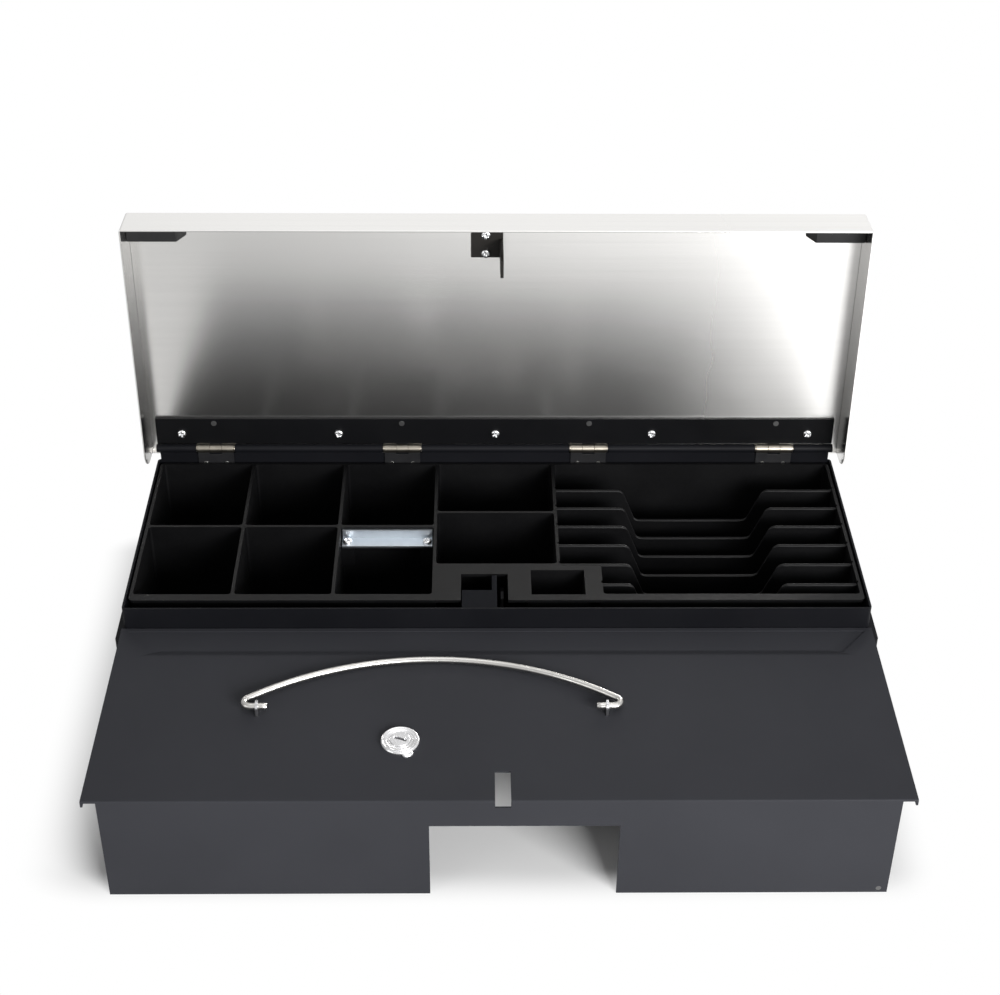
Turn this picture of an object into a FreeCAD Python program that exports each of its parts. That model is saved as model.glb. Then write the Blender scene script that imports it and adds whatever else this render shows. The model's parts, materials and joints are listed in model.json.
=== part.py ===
import FreeCAD, Part
import math
import os
import re

import Sketcher

# Flip-top cash drawer: a stepped steel case with a hinged steel lid, a lift-out coin and note tray,
# a solenoid lid latch, and a lockable cover with a bail handle, shown taken off and leaning on the case.
# Millimetres, +Z up, X along the length, the front towards -Y. In the formulas y is measured from the
# rear face of the case and z from the floor; every piece is then moved along Y so that the origin
# lies at the middle of the footprint.

SIZES = {
    # case: outer size, sheet, and the neck that steps in above the ledge
    "body_wide": 460.0,
    "body_deep": 175.0,
    "ledge_high": 71.0,
    "sheet": 1.2,
    "bend": 2.2,
    "neck_side": 4.0,
    "neck_fore": 10.5,
    "neck_aft": 5.0,
    "neck_high": 87.0,
    "skirt_deep": 9.0,
    "skirt_gap": 0.1,
    # feet, fixing holes and cable hole in the case
    "foot_high": 3.0,
    "foot_radius": 8.5,
    "foot_inset": 22.0,
    "mount_hole_radius": 2.6,
    "mount_pitch_x": 360.0,
    "mount_pitch_y": 100.0,
    "mount_back": 87.5,
    "cable_x": 150.0,
    "cable_high": 24.0,
    "cable_hole_radius": 7.0,
    "cable_bore_radius": 4.0,
    "grommet_lip": 2.0,
    # rivets that hold the case together
    "rivet_radius": 1.6,
    "rivet_head": 3.0,
    "rivet_dome": 0.8,
    "side_rivet_pitch": 110.0,
    "rear_rivet_pitch": 180.0,
    # shelves inside the case that carry the tray
    "rest_wide": 24.0,
    "rest_deep": 110.0,
    "rest_tall": 13.0,
    "seat_gap": 0.2,
    # hinges
    "axis_back": 5.0,
    "axis_high": 95.8,
    "hinge_pitch": 124.5,
    "hinge_wide": 23.6,
    "hinge_room": 0.3,
    "knuckle_gap": 0.2,
    "knuckle_radius": 3.0,
    "pin_radius": 1.25,
    "pin_clear": 0.06,
    "leaf": 1.0,
    "leaf_tall": 15.0,
    "leaf_rivet_radius": 1.3,
    "leaf_rivet_pitch": 14.0,
    "leaf_rivet_drop": 10.5,
    # lid
    "lid_high": 100.0,
    "lid_sheet": 1.0,
    "lid_bend": 1.6,
    "lid_side": 0.5,
    "lid_fore": 1.4,
    "lid_aft": 0.6,
    "lid_flange": 27.3,
    "lid_heel": 14.0,
    "lid_stop": 3.7,
    "open_angle": 92.8,
    # hinge rail inside the lid
    "rail_side": 4.5,
    "rail_near": 3.4,
    "rail_wide": 18.6,
    "rail_sheet": 1.2,
    "rail_screw_pitch": 104.2,
    "rail_screw_line": 11.0,
    "rail_rivet_line": 18.8,
    "lid_leaf_long": 18.4,
    "screw_radius": 1.5,
    "screw_head": 3.0,
    "screw_head_tall": 2.0,
    "nut_radius": 4.0,
    "thread_clear": 0.05,
    # corner bumpers and striker inside the lid
    "corner_long": 36.0,
    "corner_deep": 14.0,
    "corner_bevel": 5.0,
    "striker_sheet": 2.0,
    "striker_left": -16.2,
    "tongue_x": 3.0,
    "striker_near": 139.5,
    "striker_far": 164.0,
    "striker_screw_x": -6.8,
    "striker_screw_near": 142.5,
    "striker_screw_far": 155.0,
    "tongue_near": 136.5,
    "tongue_far": 152.5,
    "tongue_low": 68.5,
    "catch_deep": 6.0,
    "catch_low": 73.5,
    "catch_tall": 6.0,
    # tray
    "tray_gap": 1.2,
    "tray_back": 8.2,
    "tray_front": 155.0,
    "tray_high": 86.0,
    "tray_low": 21.0,
    "tray_wall": 2.0,
    "tray_rim": 4.0,
    "rim_thick": 2.0,
    "cup_fillet": 2.0,
    "tray_corner": 3.0,
    "cups_end": -39.0,
    "bay_start": 38.3,
    "row_line": 79.3,
    "wide_line": 64.2,
    "shelf_back": 119.7,
    "shelf_end": 63.7,
    "notch_left": -22.3,
    "notch_right": 6.5,
    "notch_back": 129.3,
    "small_cup_left": 20.7,
    "small_cup_right": 53.8,
    "small_cup_back": 125.4,
    "small_cup_front": 149.5,
    "small_cup_deep": 22.0,
    # note dividers
    "divider_thick": 1.6,
    "divider_first": 37.0,
    "divider_pitch": 20.0,
    "divider_high": 84.0,
    "divider_dip": 24.0,
    "dip_left": 93.0,
    "dip_right": 166.5,
    "dip_slope": 9.6,
    "dip_round": 5.0,
    "groove_deep": 0.8,
    "groove_clear": 0.2,
    # locking bracket in the tray
    "catch_plate": 1.5,
    "catch_shelf_deep": 10.2,
    "catch_shelf_high": 78.5,
    "catch_up": 6.0,
    "catch_end_gap": 1.0,
    "catch_back_clear": 0.05,
    "catch_screw_line": 86.3,
    "boss_wide": 8.5,
    "boss_tall": 14.0,
    # latch mechanism
    "web": 3.1,
    "web_left": -3.4,
    "web_back": 130.5,
    "web_middle_back": 135.9,
    "web_foot_back": 147.0,
    "web_under": 44.0,
    "web_over_plunger": 3.0,
    "web_round": 3.0,
    "foot_plate": 3.0,
    "foot_plate_wide": 26.0,
    "foot_screw_left": 0.35,
    "foot_screw_right": 0.75,
    "top_plate": 2.0,
    "top_plate_back": 145.0,
    "top_plate_side_gap": 0.6,
    "hook_thick": 2.0,
    "pivot_back": 139.5,
    "pivot_high": 56.0,
    "pivot_radius": 2.0,
    "pivot_clear": 0.05,
    "pivot_head": 4.0,
    "hook_round": 5.0,
    "hook_nose": 6.3,
    "hook_clear": 0.7,
    "nose_high": 74.3,
    "nose_thick": 4.0,
    "arm_long": 8.5,
    "release_angle": 16.0,
    "arm_thick": 6.0,
    "fork_pin_radius": 1.2,
    "fork_pin_clear": 0.3,
    "fork_slot_long": 1.2,
    "solenoid_wide": 26.0,
    "solenoid_deep": 18.0,
    "solenoid_high": 40.0,
    "solenoid_plate": 2.0,
    "coil_radius": 8.4,
    "plunger_radius": 3.5,
    "plunger_clear": 0.06,
    "plunger_low": 22.0,
    "plunger_high": 60.0,
    "fork_low": 50.0,
    "fork_clear": 0.2,
    "collar_radius": 5.5,
    "collar_thick": 1.5,
    "spring_wire": 0.45,
    "spring_radius": 4.9,
    "spring_turns": 4.0,
    # cover
    "cover_side": 2.7,
    "cover_back": 165.2,
    "cover_front": 311.5,
    "cover_high": 72.4,
    "cover_wall_half": 219.0,
    "cover_round": 1.08,
    "cover_lip": 4.0,
    "cover_lip_gap": 1.5,
    "cutout_left": -39.0,
    "cutout_right": 65.8,
    "cutout_high": 53.4,
    "slot_left": -2.9,
    "slot_right": 5.8,
    "slot_back": 288.3,
    "slot_low": 67.2,
    "recess_back": 168.0,
    "recess_front": 188.0,
    "recess_side": 4.3,
    "recess_taper": 17.0,
    "recess_depth": 0.4,
    # bail handle
    "wire_radius": 2.0,
    "wire_clear": 0.06,
    "handle_middle": -38.2,
    "handle_half": 103.8,
    "handle_bend": 4.0,
    "handle_rise": 35.0,
    "handle_back": 240.0,
    "handle_up": 4.4,
    "handle_tilt": 2.9,
    "ear_gap": 3.7,
    "ear_thick": 1.5,
    "ear_round": 3.6,
    "ear_clear": 0.1,
    "ear_foot": 9.0,
    "ear_sheet": 1.2,
    "stub_past": 6.0,
    # cover lock
    "lock_x": -55.8,
    "lock_back": 264.9,
    "lock_ring": 11.2,
    "lock_ring_tall": 2.2,
    "lock_barrel": 9.0,
    "lock_hole_clear": 0.1,
    "lock_barrel_deep": 10.2,
    "lock_nut_tall": 3.0,
    "lock_nut_radius": 13.0,
    "plug_radius": 6.0,
    "plug_clear": 0.05,
    "plug_proud": 0.4,
    "key_wide": 1.2,
    "key_long": 7.0,
    "key_deep": 6.0,
    "cam_gap": 0.3,
    "cam_thick": 2.0,
    "cam_long": 30.0,
    "cam_wide": 11.0,
    "cam_screw_tall": 2.0,
    "cover_rivet_x": 214.0,
    "cover_rivet_high": 3.2,
}

doc = FreeCAD.newDocument("flip_top_cash_drawer")
sheet = doc.addObject("Spreadsheet::Sheet", "size")
for row, (name, value) in enumerate(SIZES.items(), start=1):
    sheet.set(f"A{row}", name)
    sheet.set(f"B{row}", str(value))
    sheet.setAlias(f"B{row}", name)
doc.recompute()

PIECES = []
ORIGIN = FreeCAD.Vector(0, 0, 0)
ALONG = {
    "x": FreeCAD.Rotation(FreeCAD.Vector(0, 1, 0), 90),
    "y": FreeCAD.Rotation(FreeCAD.Vector(1, 0, 0), -90),
    "z": FreeCAD.Rotation(),
}


def formula(text):
    """The expression with each size's name pointed at its cell."""
    return re.sub(r"[a-z]\w+", lambda word: f"size.{word[0]}" if word[0] in SIZES else word[0], text)


def number(text):
    """The value of an expression in the sizes."""
    value = sheet.evalExpression(formula(text))
    return float(getattr(value, "Value", value))


def bind(item, name, text):
    item.setExpression(name, formula(text))


def box(name, x, y, z):
    """A block that spans the pairs x, y and z."""
    item = doc.addObject("Part::Box", name)
    for side, axis, (low, high) in (("Length", "x", x), ("Width", "y", y), ("Height", "z", z)):
        bind(item, side, f"{high} - ({low})")
        bind(item, f"Placement.Base.{axis}", low)
    return item


def rod(name, radius, start, long, axis="z"):
    """A cylinder from a starting point along an axis."""
    item = doc.addObject("Part::Cylinder", name)
    bind(item, "Radius", radius)
    bind(item, "Height", long)
    item.Placement = FreeCAD.Placement(ORIGIN, ALONG[axis])
    for letter, text in zip("xyz", start):
        bind(item, f"Placement.Base.{letter}", text)
    return item


def hexagon(name, radius, start, tall):
    """A hexagonal prism standing on a point."""
    item = doc.addObject("Part::Prism", name)
    item.Polygon = 6
    bind(item, "Circumradius", radius)
    bind(item, "Height", tall)
    for letter, text in zip("xyz", start):
        bind(item, f"Placement.Base.{letter}", text)
    return item


def fuse(name, items):
    item = doc.addObject("Part::MultiFuse", name)
    item.Shapes = items
    item.Refine = True
    return item


def cut(name, base, tools):
    item = doc.addObject("Part::Cut", name)
    item.Base = base
    item.Tool = tools[0] if len(tools) == 1 else fuse(f"{name}_tools", tools)
    return item


def group(name, items):
    """Separate solids that share a node."""
    item = doc.addObject("Part::Compound", name)
    item.Links = items
    return item


def body(name):
    return doc.addObject("PartDesign::Body", name)


def sketch(owner, name, role, offset="0"):
    """An empty sketch on one of the body's own planes, raised by an offset along its normal."""
    item = owner.newObject("Sketcher::SketchObject", name)
    plane = next(each for each in owner.Origin.OriginFeatures if each.Role == role)
    item.AttachmentSupport = [(plane, "")]
    item.MapMode = "FlatFace"
    bind(item, "AttachmentOffset.Base.z", offset)
    return item


def loop(item, points):
    """A closed polygon in a sketch, each corner held at its distances from the origin."""
    first = item.GeometryCount
    spots = [FreeCAD.Vector(number(across), number(up), 0) for across, up in points]
    count = len(spots)
    for turn in range(count):
        item.addGeometry(Part.LineSegment(spots[turn], spots[(turn + 1) % count]), False)
    for turn in range(count):
        following = first + (turn + 1) % count
        item.addConstraint(Sketcher.Constraint("Coincident", first + turn, 2, following, 1))
    for turn, (across, up) in enumerate(points):
        for kind, text, value in (("DistanceX", across, spots[turn].x), ("DistanceY", up, spots[turn].y)):
            made = item.addConstraint(Sketcher.Constraint(kind, -1, 1, first + turn, 1, value))
            bind(item, f"Constraints[{made}]", text)


def ring(item, centre, radius):
    """A circle in a sketch, held by its centre and radius."""
    spot = FreeCAD.Vector(number(centre[0]), number(centre[1]), 0)
    shape = Part.Circle(spot, FreeCAD.Vector(0, 0, 1), number(radius))
    made = item.addGeometry(shape, False)
    for kind, text, value in (("DistanceX", centre[0], spot.x), ("DistanceY", centre[1], spot.y)):
        held = item.addConstraint(Sketcher.Constraint(kind, -1, 1, made, 3, value))
        bind(item, f"Constraints[{held}]", text)
    held = item.addConstraint(Sketcher.Constraint("Radius", made, number(radius)))
    bind(item, f"Constraints[{held}]", radius)


def oblong(x, y):
    """The corners of a rectangle that spans the pairs x and y."""
    return [(x[0], y[0]), (x[1], y[0]), (x[1], y[1]), (x[0], y[1])]


def feature(owner, kind, name, profile, length, reverse=False):
    """A pad or pocket of a sketch."""
    item = owner.newObject(f"PartDesign::{kind}", name)
    item.Profile = profile
    bind(item, "Length", length)
    item.Reversed = reverse
    doc.recompute()
    return item


def rounded(owner, name, radius, wanted):
    """A fillet on those edges of the body that the test picks."""
    base = owner.Tip
    names = [f"Edge{n}" for n, edge in enumerate(base.Shape.Edges, start=1) if wanted(edge)]
    item = owner.newObject("PartDesign::Fillet", name)
    item.Base = (base, names)
    bind(item, "Radius", radius)
    doc.recompute()
    return item


def upright(edge):
    """True for a straight vertical edge."""
    box_of = edge.BoundBox
    return box_of.XLength < 1e-6 and box_of.YLength < 1e-6


def near(value, text):
    """True where a coordinate lies at an expression's value."""
    return abs(value - number(text)) < 1e-4


def at_side(edge, text):
    """True for an edge at a distance to the left or right of the middle."""
    return near(abs(edge.BoundBox.XMin), text)


def piece(item, label, frame="case"):
    """Names a finished piece, turns it as it rests and moves it to the shared origin."""
    item.Label = label
    angle, y, z, drop = FRAMES[frame]
    turned = f"rotation(vector(1; 0; 0); {angle}); vector(0; {y}; {z})"
    bind(item, "Placement", f"placement(vector(0; {SHIFT}; -({drop})); {turned})")
    PIECES.append(item)


# Lines and faces that several pieces share, worked out from the sizes.
HALF = "(body_wide / 2)"
NECK_HALF = "(body_wide / 2 - neck_side)"
NECK_FRONT = "(neck_fore - body_deep)"
NECK_REAR = "(-neck_aft)"
FLOOR = "(foot_high + sheet)"
AXIS_Y = "(-axis_back)"
AXIS_Z = "(axis_high)"
LID_INNER = "(lid_high - lid_sheet)"
LID_REACH = "(body_deep - lid_fore - axis_back)"
HANDLE_Y = "(-handle_back)"
HANDLE_Z = "(cover_high + handle_up)"
OPEN = "(open_angle * 1deg)"
LID_BACK = (
    f"(-axis_back - ({LID_REACH} - lid_bend) * cos({OPEN})"
    f" + (lid_high - axis_high - lid_bend) * sin({OPEN}) + lid_bend)"
)
SHIFT = f"((cover_front - {LID_BACK}) / 2)"
HINGES = [f"({step} * hinge_pitch)" for step in (-1.5, -0.5, 0.5, 1.5)]
PULL = "(arm_long * sin(release_angle * 1deg))"

# How each group is turned at rest from the way it is built, and lowered: the lid from shut to open,
# the bail from flat to leaning, the hook from latched to released, the plunger from out to pulled in.
FRAMES = {
    "case": ("0", "0", "0", "0"),
    "lid": ("-open_angle", AXIS_Y, AXIS_Z, "0"),
    "handle": ("-handle_tilt", HANDLE_Y, HANDLE_Z, "0"),
    "hook": ("-release_angle", "(-pivot_back)", "(pivot_high)", "0"),
    "plunger": ("0", "0", "0", PULL),
}


def fore(distance):
    """The closed lid's y at a distance forward of the hinge axis."""
    return f"(-axis_back - ({distance}))"


def make_housing_base():
    item = body("housing_base")
    low = sketch(item, "base_outline", "XY_Plane", "foot_high")
    loop(low, oblong((f"-{HALF}", HALF), ("-body_deep", "0")))
    feature(item, "Pad", "base_block", low, "ledge_high - sheet - foot_high")
    rounded(item, "base_corners", "bend", upright)
    inner = sketch(item, "base_inside", "XY_Plane", "ledge_high - sheet")
    loop(inner, oblong((f"sheet - {HALF}", f"{HALF} - sheet"), ("sheet - body_deep", "-sheet")))
    feature(item, "Pocket", "base_hollow", inner, f"ledge_high - sheet - {FLOOR}")

    def inner_corner(edge):
        return upright(edge) and at_side(edge, f"{HALF} - sheet") and edge.Length > number("bend")

    rounded(item, "base_inner_corners", "bend - sheet", inner_corner)
    holes = sketch(item, "fixing_holes", "XY_Plane", FLOOR)
    for x in ("-mount_pitch_x / 2", "mount_pitch_x / 2"):
        for y in ("-mount_back - mount_pitch_y / 2", "-mount_back + mount_pitch_y / 2"):
            ring(holes, (x, y), "mount_hole_radius")
    for x in MECHANISM_SCREWS:
        ring(holes, (x, FOOT_Y), "screw_radius + thread_clear")
    feature(item, "Pocket", "fixing_holes_cut", holes, "2 * sheet")
    cable = sketch(item, "cable_hole", "XZ_Plane", "0")
    ring(cable, ("cable_x", "foot_high + cable_high"), "cable_hole_radius")
    rear_rivets(cable)
    feature(item, "Pocket", "cable_hole_cut", cable, "2 * sheet", reverse=True)
    sides = sketch(item, "side_rivet_holes", "YZ_Plane", f"-{HALF} - sheet")
    for y, z in SIDE_RIVETS:
        ring(sides, (y, z), "rivet_radius")
    feature(item, "Pocket", "side_rivet_holes_cut", sides, "body_wide + 2 * sheet", reverse=True)
    piece(item, "housing_base")


SKIRT_LINE = "(ledge_high - sheet - skirt_deep / 2)"
SIDE_RIVETS = [(f"(-body_deep / 2 + {side} * side_rivet_pitch / 2)", SKIRT_LINE) for side in (-1, 1)]
REST_TOP = "(tray_low - seat_gap)"
FOOT_Y = "(-(body_deep - neck_fore - sheet + web_foot_back) / 2)"
FOOT_SHARES = ("foot_screw_left", "foot_screw_right")
MECHANISM_SCREWS = [f"(web_left + web + foot_plate_wide * {share})" for share in FOOT_SHARES]


def rear_rivets(item):
    """The rivet holes of the skirt along the rear wall."""
    for side in (-1, 0, 1):
        ring(item, (f"{side} * rear_rivet_pitch", SKIRT_LINE), "rivet_radius")


def make_housing_top_frame():
    item = body("housing_top_frame")
    plan = sketch(item, "ledge_outline", "XY_Plane", "ledge_high - sheet")
    loop(plan, oblong((f"-{HALF}", HALF), ("-body_deep", "0")))
    feature(item, "Pad", "ledge", plan, "sheet")
    rounded(item, "ledge_corners", "bend", upright)
    neck = sketch(item, "neck_outline", "XY_Plane", "ledge_high")
    loop(neck, oblong((f"-{NECK_HALF}", NECK_HALF), (NECK_FRONT, NECK_REAR)))
    feature(item, "Pad", "neck", neck, "neck_high - ledge_high")

    def above_ledge(edge):
        return upright(edge) and edge.BoundBox.ZMin > number("ledge_high - sheet / 2")

    rounded(item, "neck_corners", "bend", above_ledge)
    back = sketch(item, "upstand_outline", "XY_Plane", "neck_high")
    rear_run = (f"bend - {NECK_HALF}", f"{NECK_HALF} - bend")
    loop(back, oblong(rear_run, (f"{NECK_REAR} - sheet", NECK_REAR)))
    feature(item, "Pad", "upstand", back, "axis_high - neck_high")
    roll = sketch(item, "roll_outline", "YZ_Plane", f"-{NECK_HALF}")
    ring(roll, (AXIS_Y, AXIS_Z), "knuckle_radius - knuckle_gap")
    feature(item, "Pad", "rolled_edge", roll, f"2 * {NECK_HALF}")
    gaps = sketch(item, "hinge_gaps", "XZ_Plane", "0")
    for hinge in HINGES:
        reach = "hinge_wide / 2 + leaf + hinge_room"
        sides = (f"{hinge} - ({reach})", f"{hinge} + {reach}")
        tall = ("axis_high - knuckle_radius - knuckle_gap", "axis_high + 2 * knuckle_radius")
        loop(gaps, oblong(sides, tall))
    feature(item, "Pocket", "hinge_gaps_cut", gaps, "neck_aft + 4 * knuckle_radius", reverse=True)
    mouth = sketch(item, "mouth_outline", "XY_Plane", "neck_high")
    mouth_wide = (f"sheet - {NECK_HALF}", f"{NECK_HALF} - sheet")
    loop(mouth, oblong(mouth_wide, (f"{NECK_FRONT} + sheet", f"{NECK_REAR} - sheet")))
    feature(item, "Pocket", "mouth", mouth, "neck_high - ledge_high + 2 * sheet")
    skirt = sketch(item, "skirt_outline", "XY_Plane", "ledge_high - sheet")
    outer = "(sheet + skirt_gap)"
    inner = "(2 * sheet + skirt_gap)"
    loop(skirt, oblong((f"{outer} - {HALF}", f"{HALF} - {outer}"), (f"{outer} - body_deep", f"-{outer}")))
    loop(skirt, oblong((f"{inner} - {HALF}", f"{HALF} - {inner}"), (f"{inner} - body_deep", f"-{inner}")))
    feature(item, "Pad", "skirt", skirt, "skirt_deep", reverse=True)

    def skirt_corner(edge):
        return upright(edge) and at_side(edge, f"{HALF} - {outer}") and near(edge.Length, "skirt_deep")

    rounded(item, "skirt_corners", "bend - sheet", skirt_corner)
    rear = sketch(item, "rear_rivet_holes", "XZ_Plane", "0")
    rear_rivets(rear)
    for x, z in UPSTAND_RIVETS:
        ring(rear, (x, z), "leaf_rivet_radius")
    feature(item, "Pocket", "rear_rivet_holes_cut", rear, "neck_aft + 2 * sheet", reverse=True)
    sides = sketch(item, "skirt_side_holes", "YZ_Plane", f"-{HALF}")
    for y, z in SIDE_RIVETS:
        ring(sides, (y, z), "rivet_radius")
    feature(item, "Pocket", "skirt_side_holes_cut", sides, "body_wide", reverse=True)
    piece(item, "housing_top_frame")


UPSTAND_RIVETS = [
    (f"({hinge} + {side} * leaf_rivet_pitch / 2)", "(axis_high - leaf_rivet_drop)")
    for hinge in HINGES
    for side in (-1, 1)
]


def make_case_rivets():
    """Rivets that hold the skirt of the top frame inside the base: a shank and a flat head outside."""
    spots = []
    for side in (-1, 1):
        spots += [("x", side, (f"{side} * {HALF}", y, z)) for y, z in SIDE_RIVETS]
    spots += [("y", 1, (f"{step} * rear_rivet_pitch", "0", SKIRT_LINE)) for step in (-1, 0, 1)]
    grip = "(2 * sheet + skirt_gap)"
    made = []
    for turn, (axis, side, start) in enumerate(spots):
        letter = "xyz".index(axis)
        inner = list(start)
        outer = list(start)
        if side > 0:
            inner[letter] = f"{start[letter]} - {grip}"
        else:
            outer[letter] = f"{start[letter]} - rivet_dome"
        shank = rod(f"case_rivet_shank_{turn}", "rivet_radius", inner, grip, axis)
        head = rod(f"case_rivet_head_{turn}", "rivet_head", outer, "rivet_dome", axis)
        made.append(fuse(f"case_rivet_{turn}", [shank, head]))
    piece(group("case_rivets", made), "case_rivets")


def make_tray_rest(side, label):
    """An angle welded inside the case; its shelf carries one end of the tray."""
    item = body(label)
    profile = sketch(item, f"{label}_profile", "XZ_Plane", "body_deep / 2 - rest_deep / 2")
    wall = f"({side} * ({HALF} - sheet))"
    inside = f"({wall} - {side} * sheet)"
    edge = f"({wall} - {side} * rest_wide)"
    corners = [
        (wall, f"{REST_TOP} - rest_tall"),
        (wall, REST_TOP),
        (edge, REST_TOP),
        (edge, f"{REST_TOP} - sheet"),
        (inside, f"{REST_TOP} - sheet"),
        (inside, f"{REST_TOP} - rest_tall"),
    ]
    loop(profile, corners)
    feature(item, "Pad", f"{label}_angle", profile, "rest_deep")
    outer = number(wall)

    def fold(edge):
        box_of = edge.BoundBox
        along = box_of.XLength < 1e-6 and near(box_of.ZMin, REST_TOP)
        return along and abs(box_of.XMin - outer) < 1e-4

    rounded(item, f"{label}_bend", "sheet", fold)
    piece(item, label)


def make_rubber_feet():
    made = []
    for turn, x in enumerate((f"foot_inset - {HALF}", f"{HALF} - foot_inset")):
        for step, y in enumerate(("-foot_inset", "foot_inset - body_deep")):
            foot = doc.addObject("Part::Cone", f"foot_{turn}{step}")
            bind(foot, "Radius1", "foot_radius - foot_high / 4")
            bind(foot, "Radius2", "foot_radius")
            bind(foot, "Height", "foot_high")
            bind(foot, "Placement.Base.x", x)
            bind(foot, "Placement.Base.y", y)
            dimple = rod(f"foot_dimple_{turn}{step}", "foot_radius / 3", (x, y, "0"), "foot_high / 2")
            made.append(cut(f"rubber_foot_{turn}{step}", foot, [dimple]))
    piece(group("rubber_feet", made), "rubber_feet")


def make_cable_grommet():
    height = "foot_high + cable_high"
    wide = "cable_hole_radius + grommet_lip"
    outside = rod("grommet_outside", wide, ("cable_x", "0", height), "grommet_lip", "y")
    neck = rod("grommet_neck", "cable_hole_radius", ("cable_x", "-sheet", height), "sheet", "y")
    inside = rod("grommet_inside", wide, ("cable_x", "-sheet - grommet_lip", height), "grommet_lip", "y")
    start = ("cable_x", "-sheet - 2 * grommet_lip", height)
    bore = rod("grommet_bore", "cable_bore_radius", start, "sheet + 4 * grommet_lip", "y")
    piece(cut("cable_grommet", fuse("grommet_rings", [outside, neck, inside]), [bore]), "cable_grommet")


def knuckle(name, start, long):
    """One knuckle of a hinge, on the hinge axis, still without its bore."""
    return rod(name, "knuckle_radius", (start, AXIS_Y, AXIS_Z), long, "x")


KNUCKLE = "((hinge_wide - 2 * knuckle_gap) / 3)"


def hinge_bore(name, hinge):
    start = (f"{hinge} - hinge_wide", AXIS_Y, AXIS_Z)
    return rod(name, "pin_radius + pin_clear", start, "2 * hinge_wide", "x")


def make_hinge(turn, hinge):
    """One hinge: a leaf on the upstand with two knuckles, a leaf on the rail with one, and the pin."""
    low = f"{hinge} - hinge_wide / 2"
    high = f"{hinge} + hinge_wide / 2"
    face = f"{NECK_REAR} - sheet"
    tall = ("axis_high - leaf_tall", "axis_high")
    plate = box(f"case_leaf_plate_{turn}", (low, high), (f"{face} - leaf", face), tall)
    window = box(
        f"case_leaf_window_{turn}",
        (f"{low} + {KNUCKLE}", f"{high} - {KNUCKLE}"),
        (f"{face} - 2 * leaf", f"{face} + leaf"),
        ("axis_high - knuckle_radius - 3 * knuckle_gap", "axis_high + leaf"),
    )
    rolls = [
        knuckle(f"case_knuckle_{turn}a", low, KNUCKLE),
        knuckle(f"case_knuckle_{turn}b", f"{high} - {KNUCKLE}", KNUCKLE),
    ]
    holes = []
    for side in (-1, 1):
        x = f"{hinge} + {side} * leaf_rivet_pitch / 2"
        spot = (x, f"{face} - 2 * leaf", "axis_high - leaf_rivet_drop")
        holes.append(rod(f"case_leaf_hole_{turn}{side}", "leaf_rivet_radius", spot, "3 * leaf", "y"))
    solid = fuse(f"case_leaf_blank_{turn}", [plate] + rolls)
    tools = [hinge_bore(f"case_leaf_bore_{turn}", hinge), window] + holes
    piece(cut(f"case_leaf_{turn}", solid, tools), f"hinge_leaf_case_{turn}")

    top = "lid_high - axis_high - knuckle_radius"
    arm = box(
        f"lid_leaf_arm_{turn}",
        (f"{hinge} - {KNUCKLE} / 2", f"{hinge} + {KNUCKLE} / 2"),
        (fore("rail_near + leaf"), fore("0")),
        (f"lid_high - ({top}) - leaf", f"lid_high - ({top})"),
    )
    blade = box(
        f"lid_leaf_blade_{turn}",
        (low, high),
        (fore("rail_near + lid_leaf_long - rail_sheet"), fore("rail_near")),
        (f"lid_high - ({top}) - leaf", f"lid_high - ({top})"),
    )
    roll = knuckle(f"lid_knuckle_{turn}", f"{hinge} - {KNUCKLE} / 2", KNUCKLE)
    spot = (hinge, fore("rail_rivet_line"), "axis_high")
    hole = rod(f"lid_leaf_hole_{turn}", "leaf_rivet_radius", spot, "lid_high - axis_high")
    blank = fuse(f"lid_leaf_blank_{turn}", [arm, blade, roll])
    leaf = cut(f"lid_leaf_{turn}", blank, [hinge_bore(f"lid_leaf_bore_{turn}", hinge), hole])
    piece(leaf, f"hinge_leaf_lid_{turn}", "lid")

    start = (f"{low} - leaf / 2", AXIS_Y, AXIS_Z)
    shaft = rod(f"pin_shaft_{turn}", "pin_radius", start, "hinge_wide + leaf", "x")
    heads = [
        rod(f"pin_head_{turn}a", "knuckle_radius - leaf / 2", (f"{low} - leaf", AXIS_Y, AXIS_Z), "leaf", "x"),
        rod(f"pin_head_{turn}b", "knuckle_radius - leaf / 2", (high, AXIS_Y, AXIS_Z), "leaf", "x"),
    ]
    piece(fuse(f"pin_{turn}", [shaft] + heads), f"hinge_pin_{turn}")


def make_upstand_rivets():
    """Flush rivets that hold the case leaves to the upstand, with a small tail behind it."""
    made = []
    for turn, (x, z) in enumerate(UPSTAND_RIVETS):
        face = f"{NECK_REAR} - sheet - leaf"
        shank = rod(f"upstand_shank_{turn}", "leaf_rivet_radius", (x, face, z), "sheet + leaf", "y")
        tail = rod(f"upstand_tail_{turn}", "leaf_rivet_radius + leaf", (x, NECK_REAR, z), "leaf", "y")
        made.append(fuse(f"upstand_rivet_{turn}", [shank, tail]))
    piece(group("hinge_rivets_case", made), "hinge_rivets_case")


RAIL_TOP = "(axis_high + knuckle_radius - leaf)"
RAIL_LOW = f"({RAIL_TOP} - rail_sheet)"
RAIL_SCREWS = [f"({step} * rail_screw_pitch)" for step in (-2, -1, 0, 1, 2)]


LID_HALF = "(body_wide / 2 + lid_side)"


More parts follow.
